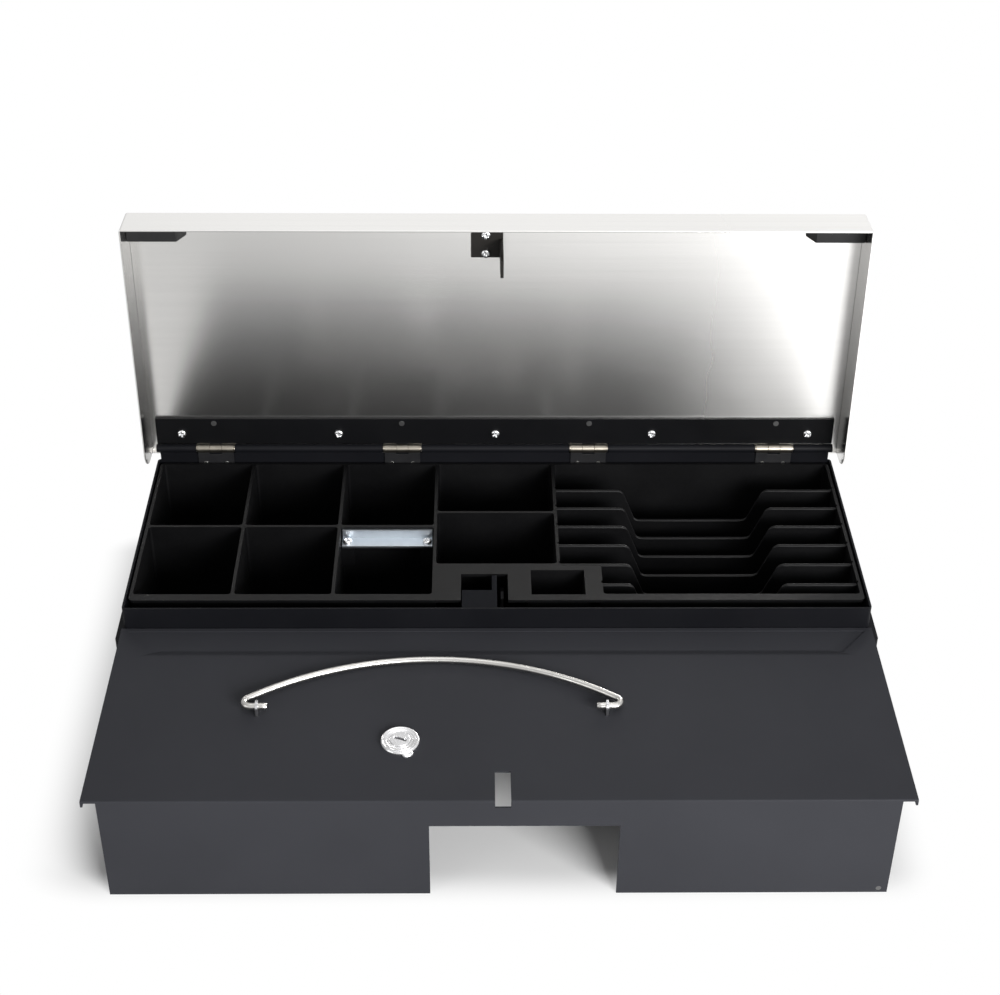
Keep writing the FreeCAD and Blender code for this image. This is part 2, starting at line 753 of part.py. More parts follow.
def make_lid_pan():
    item = body("lid_pan")
    plan = sketch(item, "lid_outline", "XY_Plane", "lid_high - lid_flange")
    loop(plan, oblong((f"-{LID_HALF}", LID_HALF), ("lid_fore - body_deep", "-lid_aft")))
    feature(item, "Pad", "lid_block", plan, "lid_flange")

    def front_corner(edge):
        return upright(edge) and near(edge.BoundBox.YMin, "lid_fore - body_deep")

    def top_edge(edge):
        flat = near(edge.BoundBox.ZMin, "lid_high") and near(edge.BoundBox.ZMax, "lid_high")
        return flat and not near(edge.BoundBox.YMin, "-lid_aft")

    rounded(item, "lid_corners", "lid_bend", front_corner)
    rounded(item, "lid_rim", "lid_bend", top_edge)
    hollow = sketch(item, "lid_inside", "XY_Plane", "lid_high - lid_flange")
    across = (f"lid_sheet - {LID_HALF}", f"{LID_HALF} - lid_sheet")
    loop(hollow, oblong(across, ("lid_fore + lid_sheet - body_deep", "lid_sheet")))
    feature(item, "Pocket", "lid_hollow", hollow, "lid_flange - lid_sheet", reverse=True)
    rounded(item, "lid_heels", "lid_heel", heel)
    stop = sketch(item, "stop_outline", "XY_Plane", LID_INNER)
    loop(stop, oblong(across, ("-lid_aft - lid_sheet", "-lid_aft")))
    feature(item, "Pad", "stop_flange", stop, "lid_stop - lid_sheet", reverse=True)
    piece(item, "lid_pan", "lid")


def heel(edge):
    """The lower rear corner of a side flange, rounded so that it clears the ledge as the lid turns."""
    box_of = edge.BoundBox
    across = box_of.YLength < 1e-6 and box_of.ZLength < 1e-6
    return across and near(box_of.YMin, "-lid_aft") and near(box_of.ZMin, "lid_high - lid_flange")


def make_lid_rail():
    half = f"({HALF} - rail_side)"
    span = (f"-{half}", half)
    back = "rail_near + rail_sheet"
    front = "rail_near + rail_wide"
    block = box("rail_block", span, (fore(front), fore("rail_near")), (RAIL_LOW, LID_INNER))
    hollow = box("rail_hollow", span, (fore(f"{front} - rail_sheet"), fore(back)), (RAIL_TOP, LID_INNER))
    tools = [hollow]
    for turn, hinge in enumerate(HINGES):
        reach = "(hinge_wide / 2 + knuckle_gap)"
        sides = (f"{hinge} - {reach}", f"{hinge} + {reach}")
        through = (fore(back), fore("rail_near - rail_sheet"))
        tools.append(box(f"rail_gate_{turn}", sides, through, (RAIL_TOP, LID_INNER)))
        spot = (hinge, fore("rail_rivet_line"), "axis_high")
        tools.append(rod(f"rail_rivet_hole_{turn}", "leaf_rivet_radius", spot, "lid_high - axis_high"))
    for turn, x in enumerate(RAIL_SCREWS):
        spot = (x, fore("rail_screw_line"), f"{RAIL_LOW} - rail_sheet")
        tools.append(rod(f"rail_screw_hole_{turn}", "screw_radius + thread_clear", spot, "3 * rail_sheet"))
    piece(cut("lid_rail", block, tools), "lid_rail", "lid")


def pan_head_screw(name, x, y, face, grip, way=-1):
    """A pan head screw: the head stands on the face, on the side that way points to."""
    low = f"{face} - screw_head_tall" if way < 0 else face
    head = rod(f"{name}_head", "screw_head", (x, y, low), "screw_head_tall")
    start = face if way < 0 else f"{face} - ({grip})"
    shank = rod(f"{name}_shank", "screw_radius", (x, y, start), grip)
    return fuse(name, [head, shank])


def make_rail_fasteners():
    nuts = []
    screws = []
    for turn, x in enumerate(RAIL_SCREWS):
        y = fore("rail_screw_line")
        blank = hexagon(f"rail_nut_blank_{turn}", "nut_radius", (x, y, RAIL_TOP), f"{LID_INNER} - {RAIL_TOP}")
        spot = (x, y, f"{RAIL_TOP} - sheet")
        hole = rod(f"rail_nut_hole_{turn}", "screw_radius + thread_clear", spot, "4 * sheet")
        nuts.append(cut(f"rail_nut_{turn}", blank, [hole]))
        grip = f"{LID_INNER} - {RAIL_LOW} - seat_gap"
        screws.append(pan_head_screw(f"rail_screw_{turn}", x, y, RAIL_LOW, grip))
    piece(group("lid_weld_nuts", nuts), "lid_weld_nuts", "lid")
    piece(group("lid_rail_screws", screws), "lid_rail_screws", "lid")
    rivets = []
    wide = "leaf_rivet_radius + leaf / 2"
    tail_tall = f"({LID_INNER} - {RAIL_TOP} - leaf) / 2"
    for turn, hinge in enumerate(HINGES):
        y = fore("rail_rivet_line")
        shank = rod(f"rail_rivet_shank_{turn}", "leaf_rivet_radius", (hinge, y, RAIL_LOW), "rail_sheet + leaf")
        head = rod(f"rail_rivet_head_{turn}", wide, (hinge, y, f"{RAIL_LOW} - leaf / 2"), "leaf / 2")
        tail = rod(f"rail_rivet_tail_{turn}", wide, (hinge, y, f"{RAIL_TOP} + leaf"), tail_tall)
        rivets.append(fuse(f"rail_rivet_{turn}", [shank, head, tail]))
    piece(group("hinge_rivets_lid", rivets), "hinge_rivets_lid", "lid")


CORNER_LOW = "(neck_high + sheet + seat_gap)"


def make_lid_corner(side, label):
    """A bumper in a front corner of the lid, bevelled at its inner end."""
    item = body(label)
    profile = sketch(item, f"{label}_profile", "XZ_Plane", "body_deep - lid_fore - lid_sheet - corner_deep")
    outer = f"({side} * ({LID_HALF} - lid_sheet))"
    inner = f"({side} * ({LID_HALF} - lid_sheet - corner_long))"
    corners = [
        (outer, CORNER_LOW),
        (outer, LID_INNER),
        (inner, LID_INNER),
        (f"{inner} + {side} * corner_bevel", CORNER_LOW),
    ]
    loop(profile, corners)
    feature(item, "Pad", f"{label}_pad", profile, "corner_deep")
    piece(item, label, "lid")


STRIKER_LOW = f"({LID_INNER} - striker_sheet)"


def make_striker():
    """The striker: a base screwed to the lid and a tongue with a catch cut in its rear edge."""
    item = body("striker_bracket")
    left = "(tongue_x - striker_sheet / 2)"
    right = "(tongue_x + striker_sheet / 2)"
    tongue = sketch(item, "tongue_profile", "YZ_Plane", left)
    rear = fore("tongue_near")
    front_edge = fore("tongue_far")
    corners = [
        (rear, LID_INNER),
        (rear, "catch_low + catch_tall"),
        (f"{rear} - catch_deep", "catch_low + catch_tall"),
        (f"{rear} - catch_deep", "catch_low"),
        (rear, "catch_low"),
        (f"{rear} - catch_deep / 2", "tongue_low"),
        (f"{front_edge} + catch_deep / 2", "tongue_low"),
        (front_edge, "catch_low"),
        (front_edge, LID_INNER),
    ]
    loop(tongue, corners)
    feature(item, "Pad", "tongue", tongue, "striker_sheet")
    base = sketch(item, "striker_base_outline", "XY_Plane", STRIKER_LOW)
    loop(base, oblong(("striker_left", right), (fore("striker_far"), fore("striker_near"))))
    feature(item, "Pad", "striker_base", base, "striker_sheet")
    holes = sketch(item, "striker_holes", "XY_Plane", f"{LID_INNER} + striker_sheet")
    for line in ("striker_screw_near", "striker_screw_far"):
        ring(holes, ("striker_screw_x", fore(line)), "screw_radius + thread_clear")
    feature(item, "Pocket", "striker_holes_cut", holes, "3 * striker_sheet")
    piece(item, "striker_bracket", "lid")
    screws = []
    for turn, line in enumerate((fore("striker_screw_near"), fore("striker_screw_far"))):
        label = f"striker_screw_{turn}"
        screws.append(pan_head_screw(label, "striker_screw_x", line, STRIKER_LOW, "striker_sheet"))
    piece(group("striker_screws", screws), "striker_screws", "lid")


TRAY_HALF = "(body_wide / 2 - neck_side - sheet - tray_gap)"
TRAY_FLOOR = "(tray_low + tray_wall)"
HALF_WALL = "(tray_wall / 2)"
CUP_PITCH = f"(({TRAY_HALF} - {HALF_WALL} + cups_end) / 3)"
CUP_BACK = "(-tray_back - tray_wall)"
CUP_FRONT = "(-tray_front + tray_rim + tray_wall)"


def between(low, high):
    """The clear span between two wall centre lines."""
    return (f"({low} + {HALF_WALL})", f"({high} - {HALF_WALL})")


COLUMN_LINES = [f"(cups_end - {turn} * {CUP_PITCH})" for turn in (3, 2, 1, 0)]
COLUMNS = [between(low, high) for low, high in zip(COLUMN_LINES, COLUMN_LINES[1:])]
ROWS = [(f"(-row_line + {HALF_WALL})", CUP_BACK), (CUP_FRONT, f"(-row_line - {HALF_WALL})")]
WIDE = between("cups_end", "bay_start")
WIDE_ROWS = [
    (f"(-wide_line + {HALF_WALL})", CUP_BACK),
    (f"(-shelf_back + {HALF_WALL})", f"(-wide_line - {HALF_WALL})"),
]
BAY = (f"(bay_start + {HALF_WALL})", f"({TRAY_HALF} - tray_wall)")
BAY_STEP = (f"(shelf_end + {HALF_WALL})", f"(-shelf_back - {HALF_WALL})")
DIVIDERS = [f"(-divider_first - {turn} * divider_pitch)" for turn in range(6)]
CATCH_SPAN = (f"{COLUMNS[2][0]} + catch_end_gap", f"{COLUMNS[2][1]} - catch_end_gap")
CATCH_SCREWS = [f"({COLUMNS[2][0]} + boss_wide / 2)", f"({COLUMNS[2][1]} - boss_wide / 2)"]


def divider_ends(y):
    """The bay walls that a divider stands between."""
    left = BAY[0] if number(y) > number(BAY_STEP[1]) else BAY_STEP[0]
    return left, BAY[1]


def make_tray():
    item = body("tray")
    low = sketch(item, "tray_outline", "XY_Plane", "tray_low")
    loop(low, oblong((f"-{TRAY_HALF}", TRAY_HALF), ("-tray_front + tray_rim", "-tray_back")))
    feature(item, "Pad", "tray_block", low, "tray_high - tray_low - rim_thick")
    top = sketch(item, "rim_outline", "XY_Plane", "tray_high - rim_thick")
    loop(top, oblong((f"-{TRAY_HALF}", TRAY_HALF), ("-tray_front", "-tray_back")))
    feature(item, "Pad", "tray_rim_pad", top, "rim_thick")
    rounded(item, "tray_corners", "tray_corner", upright)
    cups = sketch(item, "cup_outlines", "XY_Plane", "tray_high")
    for column in COLUMNS:
        for row_of in ROWS:
            loop(cups, oblong(column, row_of))
    for row_of in WIDE_ROWS:
        loop(cups, oblong(WIDE, row_of))
    bay = [
        (BAY[0], CUP_BACK),
        (BAY[1], CUP_BACK),
        (BAY[1], CUP_FRONT),
        (BAY_STEP[0], CUP_FRONT),
        (BAY_STEP[0], BAY_STEP[1]),
        (BAY[0], BAY_STEP[1]),
    ]
    loop(cups, bay)
    feature(item, "Pocket", "cups", cups, f"tray_high - {TRAY_FLOOR}")

    def cup_corner(edge):
        return upright(edge) and near(edge.BoundBox.ZMin, TRAY_FLOOR)

    rounded(item, "cup_rounding", "cup_fillet", cup_corner)
    under = sketch(item, "mechanism_space", "XY_Plane", "tray_low")
    space_x = (f"cups_end + {HALF_WALL}", f"shelf_end - {HALF_WALL}")
    space_y = ("-tray_front", f"-shelf_back - {HALF_WALL}")
    loop(under, oblong(space_x, space_y))
    feature(item, "Pocket", "mechanism_space_cut", under, "tray_high - rim_thick - tray_low", reverse=True)
    shell = sketch(item, "small_cup_shell", "XY_Plane", "tray_high - rim_thick")
    across = ("small_cup_left - tray_wall", "small_cup_right + tray_wall")
    along = ("-small_cup_front - tray_wall", "-small_cup_back + tray_wall")
    loop(shell, oblong(across, along))
    feature(item, "Pad", "small_cup_block", shell, "small_cup_deep + tray_wall - rim_thick", reverse=True)
    hole = sketch(item, "small_cup_outline", "XY_Plane", "tray_high")
    loop(hole, oblong(("small_cup_left", "small_cup_right"), ("-small_cup_front", "-small_cup_back")))
    feature(item, "Pocket", "small_cup", hole, "small_cup_deep")
    notch = sketch(item, "notch_outline", "XY_Plane", "tray_high")
    loop(notch, oblong(("notch_left", "notch_right"), ("-tray_front - rim_thick", "-notch_back")))
    feature(item, "Pocket", "notch", notch, "2 * rim_thick")
    bosses = sketch(item, "boss_outlines", "XY_Plane", CATCH_LOW)
    rear = f"-row_line - {HALF_WALL}"
    boss_deep = (f"{rear} - catch_shelf_deep", f"{rear} + {HALF_WALL}")
    left, right = COLUMNS[2]
    loop(bosses, oblong((f"{left} - {HALF_WALL}", f"{left} + boss_wide"), boss_deep))
    loop(bosses, oblong((f"{right} - boss_wide", f"{right} + {HALF_WALL}"), boss_deep))
    feature(item, "Pad", "bosses", bosses, "boss_tall", reverse=True)
    pilots = sketch(item, "boss_holes", "XY_Plane", CATCH_LOW)
    for x in CATCH_SCREWS:
        ring(pilots, (x, "-catch_screw_line"), "screw_radius + thread_clear")
    feature(item, "Pocket", "boss_holes_cut", pilots, "boss_tall / 2")
    grooves = sketch(item, "groove_outlines", "XY_Plane", "tray_high")
    for y in DIVIDERS:
        across = (f"{y} - divider_thick / 2 - groove_clear / 2", f"{y} + divider_thick / 2 + groove_clear / 2")
        left, right = divider_ends(y)
        loop(grooves, oblong((f"{left} - groove_deep", f"{left} + cup_fillet / 2"), across))
        loop(grooves, oblong((f"{right} - cup_fillet / 2", f"{right} + groove_deep"), across))
    feature(item, "Pocket", "grooves", grooves, f"tray_high - {TRAY_FLOOR} - cup_fillet")
    piece(item, "tray")


def make_note_divider(turn, y):
    """A note divider: raised at both ends, dipped in the middle, with rounded shoulders."""
    label = f"note_divider_{turn}"
    item = body(label)
    profile = sketch(item, f"{label}_profile", "XZ_Plane", f"-({y}) - divider_thick / 2")
    left, right = divider_ends(y)
    left = f"({left} - groove_deep + groove_clear)"
    right = f"({right} + groove_deep - groove_clear)"
    foot = f"({TRAY_FLOOR} + cup_fillet + seat_gap)"
    corners = [
        (left, foot),
        (right, foot),
        (right, "divider_high"),
        ("dip_right + dip_slope", "divider_high"),
        ("dip_right", "divider_high - divider_dip"),
        ("dip_left", "divider_high - divider_dip"),
        ("dip_left - dip_slope", "divider_high"),
        (left, "divider_high"),
    ]
    loop(profile, corners)
    feature(item, "Pad", f"{label}_plate", profile, "divider_thick")
    dips = ("dip_left", "dip_right", "dip_left - dip_slope", "dip_right + dip_slope")
    steps = [number(text) for text in dips]

    def shoulder(edge):
        box_of = edge.BoundBox
        straight = box_of.XLength < 1e-6 and box_of.ZLength < 1e-6
        return straight and any(abs(box_of.XMin - step) < 1e-4 for step in steps)

    rounded(item, f"{label}_shoulders", "dip_round", shoulder)
    piece(item, label)


CATCH_LOW = "(catch_shelf_high - catch_plate)"


def make_lock_bracket():
    """The zinc angle that the cover's cam turns under, and its two screws."""
    item = body("lock_bracket")
    profile = sketch(item, "lock_bracket_profile", "YZ_Plane", CATCH_SPAN[0])
    sunk = "(cup_fillet - sqrt(cup_fillet ^ 2 - (cup_fillet - catch_end_gap) ^ 2))"
    rear = f"(-row_line - {HALF_WALL} - {sunk} - catch_back_clear)"
    corners = [
        (rear, CATCH_LOW),
        (rear, "catch_shelf_high + catch_up"),
        (f"{rear} - catch_plate", "catch_shelf_high + catch_up"),
        (f"{rear} - catch_plate", "catch_shelf_high"),
        (f"{rear} - catch_shelf_deep", "catch_shelf_high"),
        (f"{rear} - catch_shelf_deep", CATCH_LOW),
    ]
    loop(profile, corners)
    feature(item, "Pad", "lock_bracket_angle", profile, f"{CATCH_SPAN[1]} - ({CATCH_SPAN[0]})")
    holes = sketch(item, "lock_bracket_holes", "XY_Plane", "catch_shelf_high + catch_plate")
    for x in CATCH_SCREWS:
        ring(holes, (x, "-catch_screw_line"), "screw_radius + thread_clear")
    feature(item, "Pocket", "lock_bracket_holes_cut", holes, "3 * catch_plate")
    piece(item, "lock_bracket")
    grip = "catch_plate + boss_tall / 2 - seat_gap"
    screws = [
        pan_head_screw(f"catch_screw_{turn}", x, "-catch_screw_line", "catch_shelf_high", grip, 1)
        for turn, x in enumerate(CATCH_SCREWS)
    ]
    piece(group("lock_bracket_screws", screws), "lock_bracket_screws")


WEB_RIGHT = "(web_left + web)"
TONGUE_LEFT = "(tongue_x - hook_thick / 2)"


def make_mechanism_bracket():
    """The latch bracket: an upright web with a foot on the floor and a top plate that meets the neck."""
    item = body("mechanism_bracket")
    profile = sketch(item, "web_profile", "YZ_Plane", "web_left")
    front_edge = f"({NECK_FRONT} + sheet + seat_gap)"
    corners = [
        (front_edge, FLOOR),
        ("-web_foot_back", FLOOR),
        ("-web_foot_back", "web_under"),
        ("-web_middle_back", "web_under"),
        ("-web_middle_back", "plunger_high + web_over_plunger"),
        ("-web_back", "plunger_high + web_over_plunger"),
        ("-web_back", "tray_high"),
        (front_edge, "tray_high"),
    ]
    loop(profile, corners)
    feature(item, "Pad", "web_pad", profile, "web")
    foot = sketch(item, "foot_outline", "XY_Plane", FLOOR)
    loop(foot, oblong(("web_left", f"{WEB_RIGHT} + foot_plate_wide"), (front_edge, "-web_foot_back")))
    feature(item, "Pad", "foot_pad", foot, "foot_plate")
    top = sketch(item, "top_plate_outline", "XY_Plane", "tray_high")
    loop(top, oblong(("notch_left + top_plate_side_gap", WEB_RIGHT), (front_edge, "-top_plate_back")))
    feature(item, "Pad", "top_plate_pad", top, "top_plate", reverse=True)
    rounded(item, "web_corner", "web_round", web_corner)
    pivot = sketch(item, "pivot_hole", "YZ_Plane", "web_left - web")
    ring(pivot, ("-pivot_back", "pivot_high"), "pivot_radius")
    feature(item, "Pocket", "pivot_hole_cut", pivot, "3 * web", reverse=True)
    holes = sketch(item, "foot_holes", "XY_Plane", f"{FLOOR} + 2 * foot_plate")
    for x in MECHANISM_SCREWS:
        ring(holes, (x, FOOT_Y), "screw_radius + thread_clear")
    feature(item, "Pocket", "foot_holes_cut", holes, "3 * foot_plate")
    piece(item, "mechanism_bracket")
    face = f"({FLOOR} + foot_plate)"
    screws = [
        pan_head_screw(f"mechanism_screw_{turn}", x, FOOT_Y, face, "foot_plate + sheet", 1)
        for turn, x in enumerate(MECHANISM_SCREWS)
    ]
    piece(group("mechanism_screws", screws), "mechanism_screws")


def web_corner(edge):
    """The inside corner where the web steps back over the solenoid."""
    box_of = edge.BoundBox
    across = box_of.YLength < 1e-6 and box_of.ZLength < 1e-6
    return across and near(box_of.YMin, "-web_foot_back") and near(box_of.ZMin, "web_under")


def make_latch():
    """The hook on its pin: a nose that catches the striker and an arm that the plunger pulls down."""
    item = body("latch_hook")
    left = TONGUE_LEFT
    profile = sketch(item, "hook_profile", "YZ_Plane", left)
    back = "(-pivot_back + hook_round)"
    face = "(-pivot_back - hook_round)"
    arm_end = "(-pivot_back + arm_long + fork_slot_long + fork_pin_radius + fork_pin_clear + leaf)"
    neck = fore("tongue_near - hook_clear")
    corners = [
        (face, "pivot_high - hook_round"),
        (back, "pivot_high - hook_round"),
        (back, "pivot_high - arm_thick / 2"),
        (arm_end, "pivot_high - arm_thick / 2"),
        (arm_end, "pivot_high + arm_thick / 2"),
        (back, "pivot_high + arm_thick / 2"),
        ("-pivot_back + hook_round / 2", "nose_high + nose_thick"),
        ("-pivot_back - hook_nose + nose_thick / 2", "nose_high + nose_thick"),
        ("-pivot_back - hook_nose", "nose_high"),
        (neck, "nose_high"),
        (neck, "tongue_low - hook_clear"),
        (face, "pivot_high + hook_round"),
    ]
    loop(profile, corners)
    feature(item, "Pad", "hook_plate", profile, "hook_thick")
    bore = sketch(item, "hook_bore", "YZ_Plane", f"{left} + 2 * hook_thick")
    ring(bore, ("-pivot_back", "pivot_high"), "pivot_radius + pivot_clear")
    feature(item, "Pocket", "hook_bore_cut", bore, "3 * hook_thick")
    slot = sketch(item, "fork_slot", "YZ_Plane", f"{left} + 2 * hook_thick")
    tall = "(fork_pin_radius + fork_pin_clear)"
    middle = "(-pivot_back + arm_long)"
    along = (f"{middle} - fork_slot_long - {tall}", f"{middle} + fork_slot_long + {tall}")
    loop(slot, oblong(along, (f"pivot_high - {tall}", f"pivot_high + {tall}")))
    feature(item, "Pocket", "fork_slot_cut", slot, "3 * hook_thick")
    piece(item, "latch_hook", "hook")
    start = (WEB_RIGHT, "-pivot_back", "pivot_high")
    collar = rod("pivot_collar", "pivot_head", start, f"{left} - {WEB_RIGHT} - seat_gap", "x")
    start = ("web_left - pivot_radius / 2", "-pivot_back", "pivot_high")
    shaft = rod("pivot_shaft", "pivot_radius", start, f"{left} + hook_thick - web_left + pivot_radius", "x")
    start = (f"{left} + hook_thick + seat_gap", "-pivot_back", "pivot_high")
    clip = rod("pivot_clip", "pivot_head - pivot_radius / 2", start, "pivot_radius / 2 - seat_gap", "x")
    piece(fuse("pivot_pin", [collar, shaft, clip]), "latch_pivot_pin")


PLUNGER_Y = "(-pivot_back + arm_long)"
SPRING_STEPS = 16
SPRING_SIDES = 8


def make_solenoid():
    """An open-frame solenoid that stands on the floor: frame, coil, plunger and return spring."""
    x = "tongue_x"
    across = (f"{x} - solenoid_wide / 2", f"{x} + solenoid_wide / 2")
    along = (f"{PLUNGER_Y} - solenoid_deep / 2", f"{PLUNGER_Y} + solenoid_deep / 2")
    block = box("solenoid_block", across, along, (FLOOR, "solenoid_high"))
    inside = box(
        "solenoid_window",
        (f"{across[0]} + solenoid_plate", f"{across[1]} - solenoid_plate"),
        (f"{along[0]} - solenoid_plate", f"{along[1]} + solenoid_plate"),
        (f"{FLOOR} + solenoid_plate", f"solenoid_high - solenoid_plate"),
    )
    clear = "plunger_radius + plunger_clear"
    bore = rod("solenoid_bore", clear, (x, PLUNGER_Y, "plunger_low"), "plunger_high")
    piece(cut("solenoid_frame", block, [inside, bore]), "solenoid_frame")
    tall = f"solenoid_high - {FLOOR} - 2 * solenoid_plate"
    winding = rod("coil_winding", "coil_radius", (x, PLUNGER_Y, f"{FLOOR} + solenoid_plate"), tall)
    hole = rod("coil_bore", clear, (x, PLUNGER_Y, "plunger_low - arm_thick"), "plunger_high")
    piece(cut("solenoid_coil", winding, [hole]), "solenoid_coil")
    tall = "plunger_high - plunger_low"
    shaft = rod("plunger_shaft", "plunger_radius", (x, PLUNGER_Y, "plunger_low"), tall)
    collar = rod("plunger_collar", "collar_radius", (x, PLUNGER_Y, "fork_low - collar_thick"), "collar_thick")
    gap = box(
        "plunger_fork",
        (f"{TONGUE_LEFT} - fork_clear", f"{TONGUE_LEFT} + hook_thick + fork_clear"),
        (f"{PLUNGER_Y} - 2 * plunger_radius", f"{PLUNGER_Y} + 2 * plunger_radius"),
        ("fork_low", "plunger_high + leaf"),
    )
    forked = cut("plunger_forked", fuse("plunger_blank", [shaft, collar]), [gap])
    pin_start = (f"{x} - plunger_radius", PLUNGER_Y, "pivot_high")
    pin = rod("fork_pin", "fork_pin_radius", pin_start, "2 * plunger_radius", "x")
    piece(fuse("plunger", [forked, pin]), "solenoid_plunger", "plunger")


def make_latch_spring():
    """The return spring between the solenoid frame and the plunger's collar, in short straight lengths."""
    low = number("solenoid_high + spring_wire + seat_gap")
    high = number(f"fork_low - collar_thick - {PULL} - spring_wire - seat_gap")
    radius = number("spring_radius")
    wire = number("spring_wire")
    steps = round(number("spring_turns") * SPRING_STEPS)
    slope = (high - low) / number("spring_turns") / (2 * math.pi * radius)
    rings = []
    for step in range(steps + 1):
        angle = 2 * math.pi * step / SPRING_STEPS
        out = FreeCAD.Vector(math.cos(angle), math.sin(angle), 0)
        along = FreeCAD.Vector(-math.sin(angle), math.cos(angle), slope).normalize()
        across = along.cross(out)
        height = low + (high - low) * step / steps
        middle = FreeCAD.Vector(number("tongue_x"), number(PLUNGER_Y), height) + out * radius
        corners = []
        for side in range(SPRING_SIDES):
            turn = 2 * math.pi * side / SPRING_SIDES
            corners.append(middle + out * (wire * math.cos(turn)) + across * (wire * math.sin(turn)))
        rings.append(Part.makePolygon(corners + corners[:1]))
    item = doc.addObject("Part::Feature", "latch_spring")
    item.Shape = Part.makeLoft(rings, True, True)
    piece(item, "latch_spring")


COVER_HALF = "(body_wide / 2 - cover_side)"
COVER_UNDER = "(cover_high - sheet)"


def make_cover_shell():
    """The cover: one folded sheet with a deep front wall, narrow side lips, a cut-out and a latch slot."""
    item = body("cover_shell")
    plan = sketch(item, "cover_outline", "XY_Plane", COVER_UNDER)
    loop(plan, oblong((f"-{COVER_HALF}", COVER_HALF), ("-cover_front", "-cover_back")))
    feature(item, "Pad", "cover_plate", plan, "sheet")
    wall = sketch(item, "wall_outline", "XZ_Plane", "cover_front - sheet")
    corners = [
        ("-cover_wall_half", "0"),
        ("cutout_left", "0"),
        ("cutout_left", "cutout_high"),
        ("cutout_right", "cutout_high"),
        ("cutout_right", "0"),
        ("cover_wall_half", "0"),
        ("cover_wall_half", COVER_UNDER),
        ("-cover_wall_half", COVER_UNDER),
    ]
    loop(wall, corners)
    feature(item, "Pad", "cover_wall", wall, "sheet")
    lips = sketch(item, "lip_outlines", "XY_Plane", COVER_UNDER)
    along = ("-cover_front", "-body_deep - cover_lip_gap")
    loop(lips, oblong((f"-{COVER_HALF}", f"sheet - {COVER_HALF}"), along))
    loop(lips, oblong((f"{COVER_HALF} - sheet", COVER_HALF), along))
    feature(item, "Pad", "cover_lips", lips, "cover_lip - sheet", reverse=True)
    rounded(item, "cover_bends", "cover_round", cover_fold)
    slot = sketch(item, "slot_outline", "XY_Plane", "cover_high + sheet")
    loop(slot, oblong(("slot_left", "slot_right"), ("-cover_front - sheet", "-slot_back")))
    feature(item, "Pocket", "slot_cut", slot, "cover_high + sheet - slot_low")
    dent = sketch(item, "recess_outline", "XY_Plane", "cover_high")
    rear_half = f"({COVER_HALF} - recess_side)"
    near_half = f"({COVER_HALF} - recess_side - recess_taper)"
    corners = [
        (f"-{rear_half}", "-recess_back"),
        (rear_half, "-recess_back"),
        (near_half, "-recess_front"),
        (f"-{near_half}", "-recess_front"),
    ]
    loop(dent, corners)
    feature(item, "Pocket", "recess", dent, "recess_depth")
    holes = sketch(item, "cover_holes", "XY_Plane", "cover_high + sheet")
    ring(holes, ("lock_x", "-lock_back"), "lock_barrel + lock_hole_clear")
    for side, x in EARS:
        across = (f"{x} - ear_thick / 2 - ear_clear", f"{x} + ear_thick / 2 + ear_clear")
        along = (f"{HANDLE_Y} - ear_round - ear_clear", f"{HANDLE_Y} + ear_round + ear_clear")
        loop(holes, oblong(across, along))
    feature(item, "Pocket", "cover_holes_cut", holes, "3 * sheet")
    rivet_hole = sketch(item, "wall_rivet_hole", "XZ_Plane", "cover_front - 2 * sheet")
    ring(rivet_hole, ("cover_rivet_x", "cover_rivet_high"), "rivet_radius")
    feature(item, "Pocket", "wall_rivet_hole_cut", rivet_hole, "3 * sheet", reverse=True)
    piece(item, "cover_shell")


def cover_fold(edge):
    """The outer edge where the cover's plate turns down into its front wall."""
    box_of = edge.BoundBox
    in_front = near(box_of.YMin, "-cover_front") and near(box_of.YMax, "-cover_front")
    return in_front and near(box_of.ZMin, "cover_high")


def make_cover_rivet():
    start = ("cover_rivet_x", "-cover_front", "cover_rivet_high")
    shank = rod("cover_rivet_shank", "rivet_radius", start, "sheet", "y")
    inside = ("cover_rivet_x", "-cover_front + sheet", "cover_rivet_high")
    tail = rod("cover_rivet_tail", "rivet_head - seat_gap", inside, "rivet_dome", "y")
    piece(fuse("cover_rivet", [shank, tail]), "cover_wall_rivet")


EARS = [
    (-1, "(handle_middle - handle_half + ear_gap)"),
    (1, "(handle_middle + handle_half - ear_gap)"),
]


def make_handle_ear(side, x, label):
    """An ear for the bail: a tab through the plate with a foot welded under it."""
    across = (f"{x} - ear_thick / 2", f"{x} + ear_thick / 2")
    along = (f"{HANDLE_Y} - ear_round", f"{HANDLE_Y} + ear_round")
    low = f"{COVER_UNDER} - ear_sheet"
    tab = box(f"{label}_tab", across, along, (low, HANDLE_Z))
    crown = rod(f"{label}_crown", "ear_round", (across[0], HANDLE_Y, HANDLE_Z), "ear_thick", "x")
    outer = f"({x} - {side} * ear_thick / 2)"
    inner = f"({x} - {side} * ear_foot)"
    reach = (inner, outer) if side > 0 else (outer, inner)
    foot = box(f"{label}_foot", reach, along, (low, COVER_UNDER))
    start = (f"{x} - 2 * ear_thick", HANDLE_Y, HANDLE_Z)
    bore = rod(f"{label}_bore", "wire_radius + wire_clear", start, "4 * ear_thick", "x")
    piece(cut(f"{label}_ear", fuse(f"{label}_blank", [tab, crown, foot]), [bore]), label)


BEND_STEPS = 6
BOW_STEPS = 14


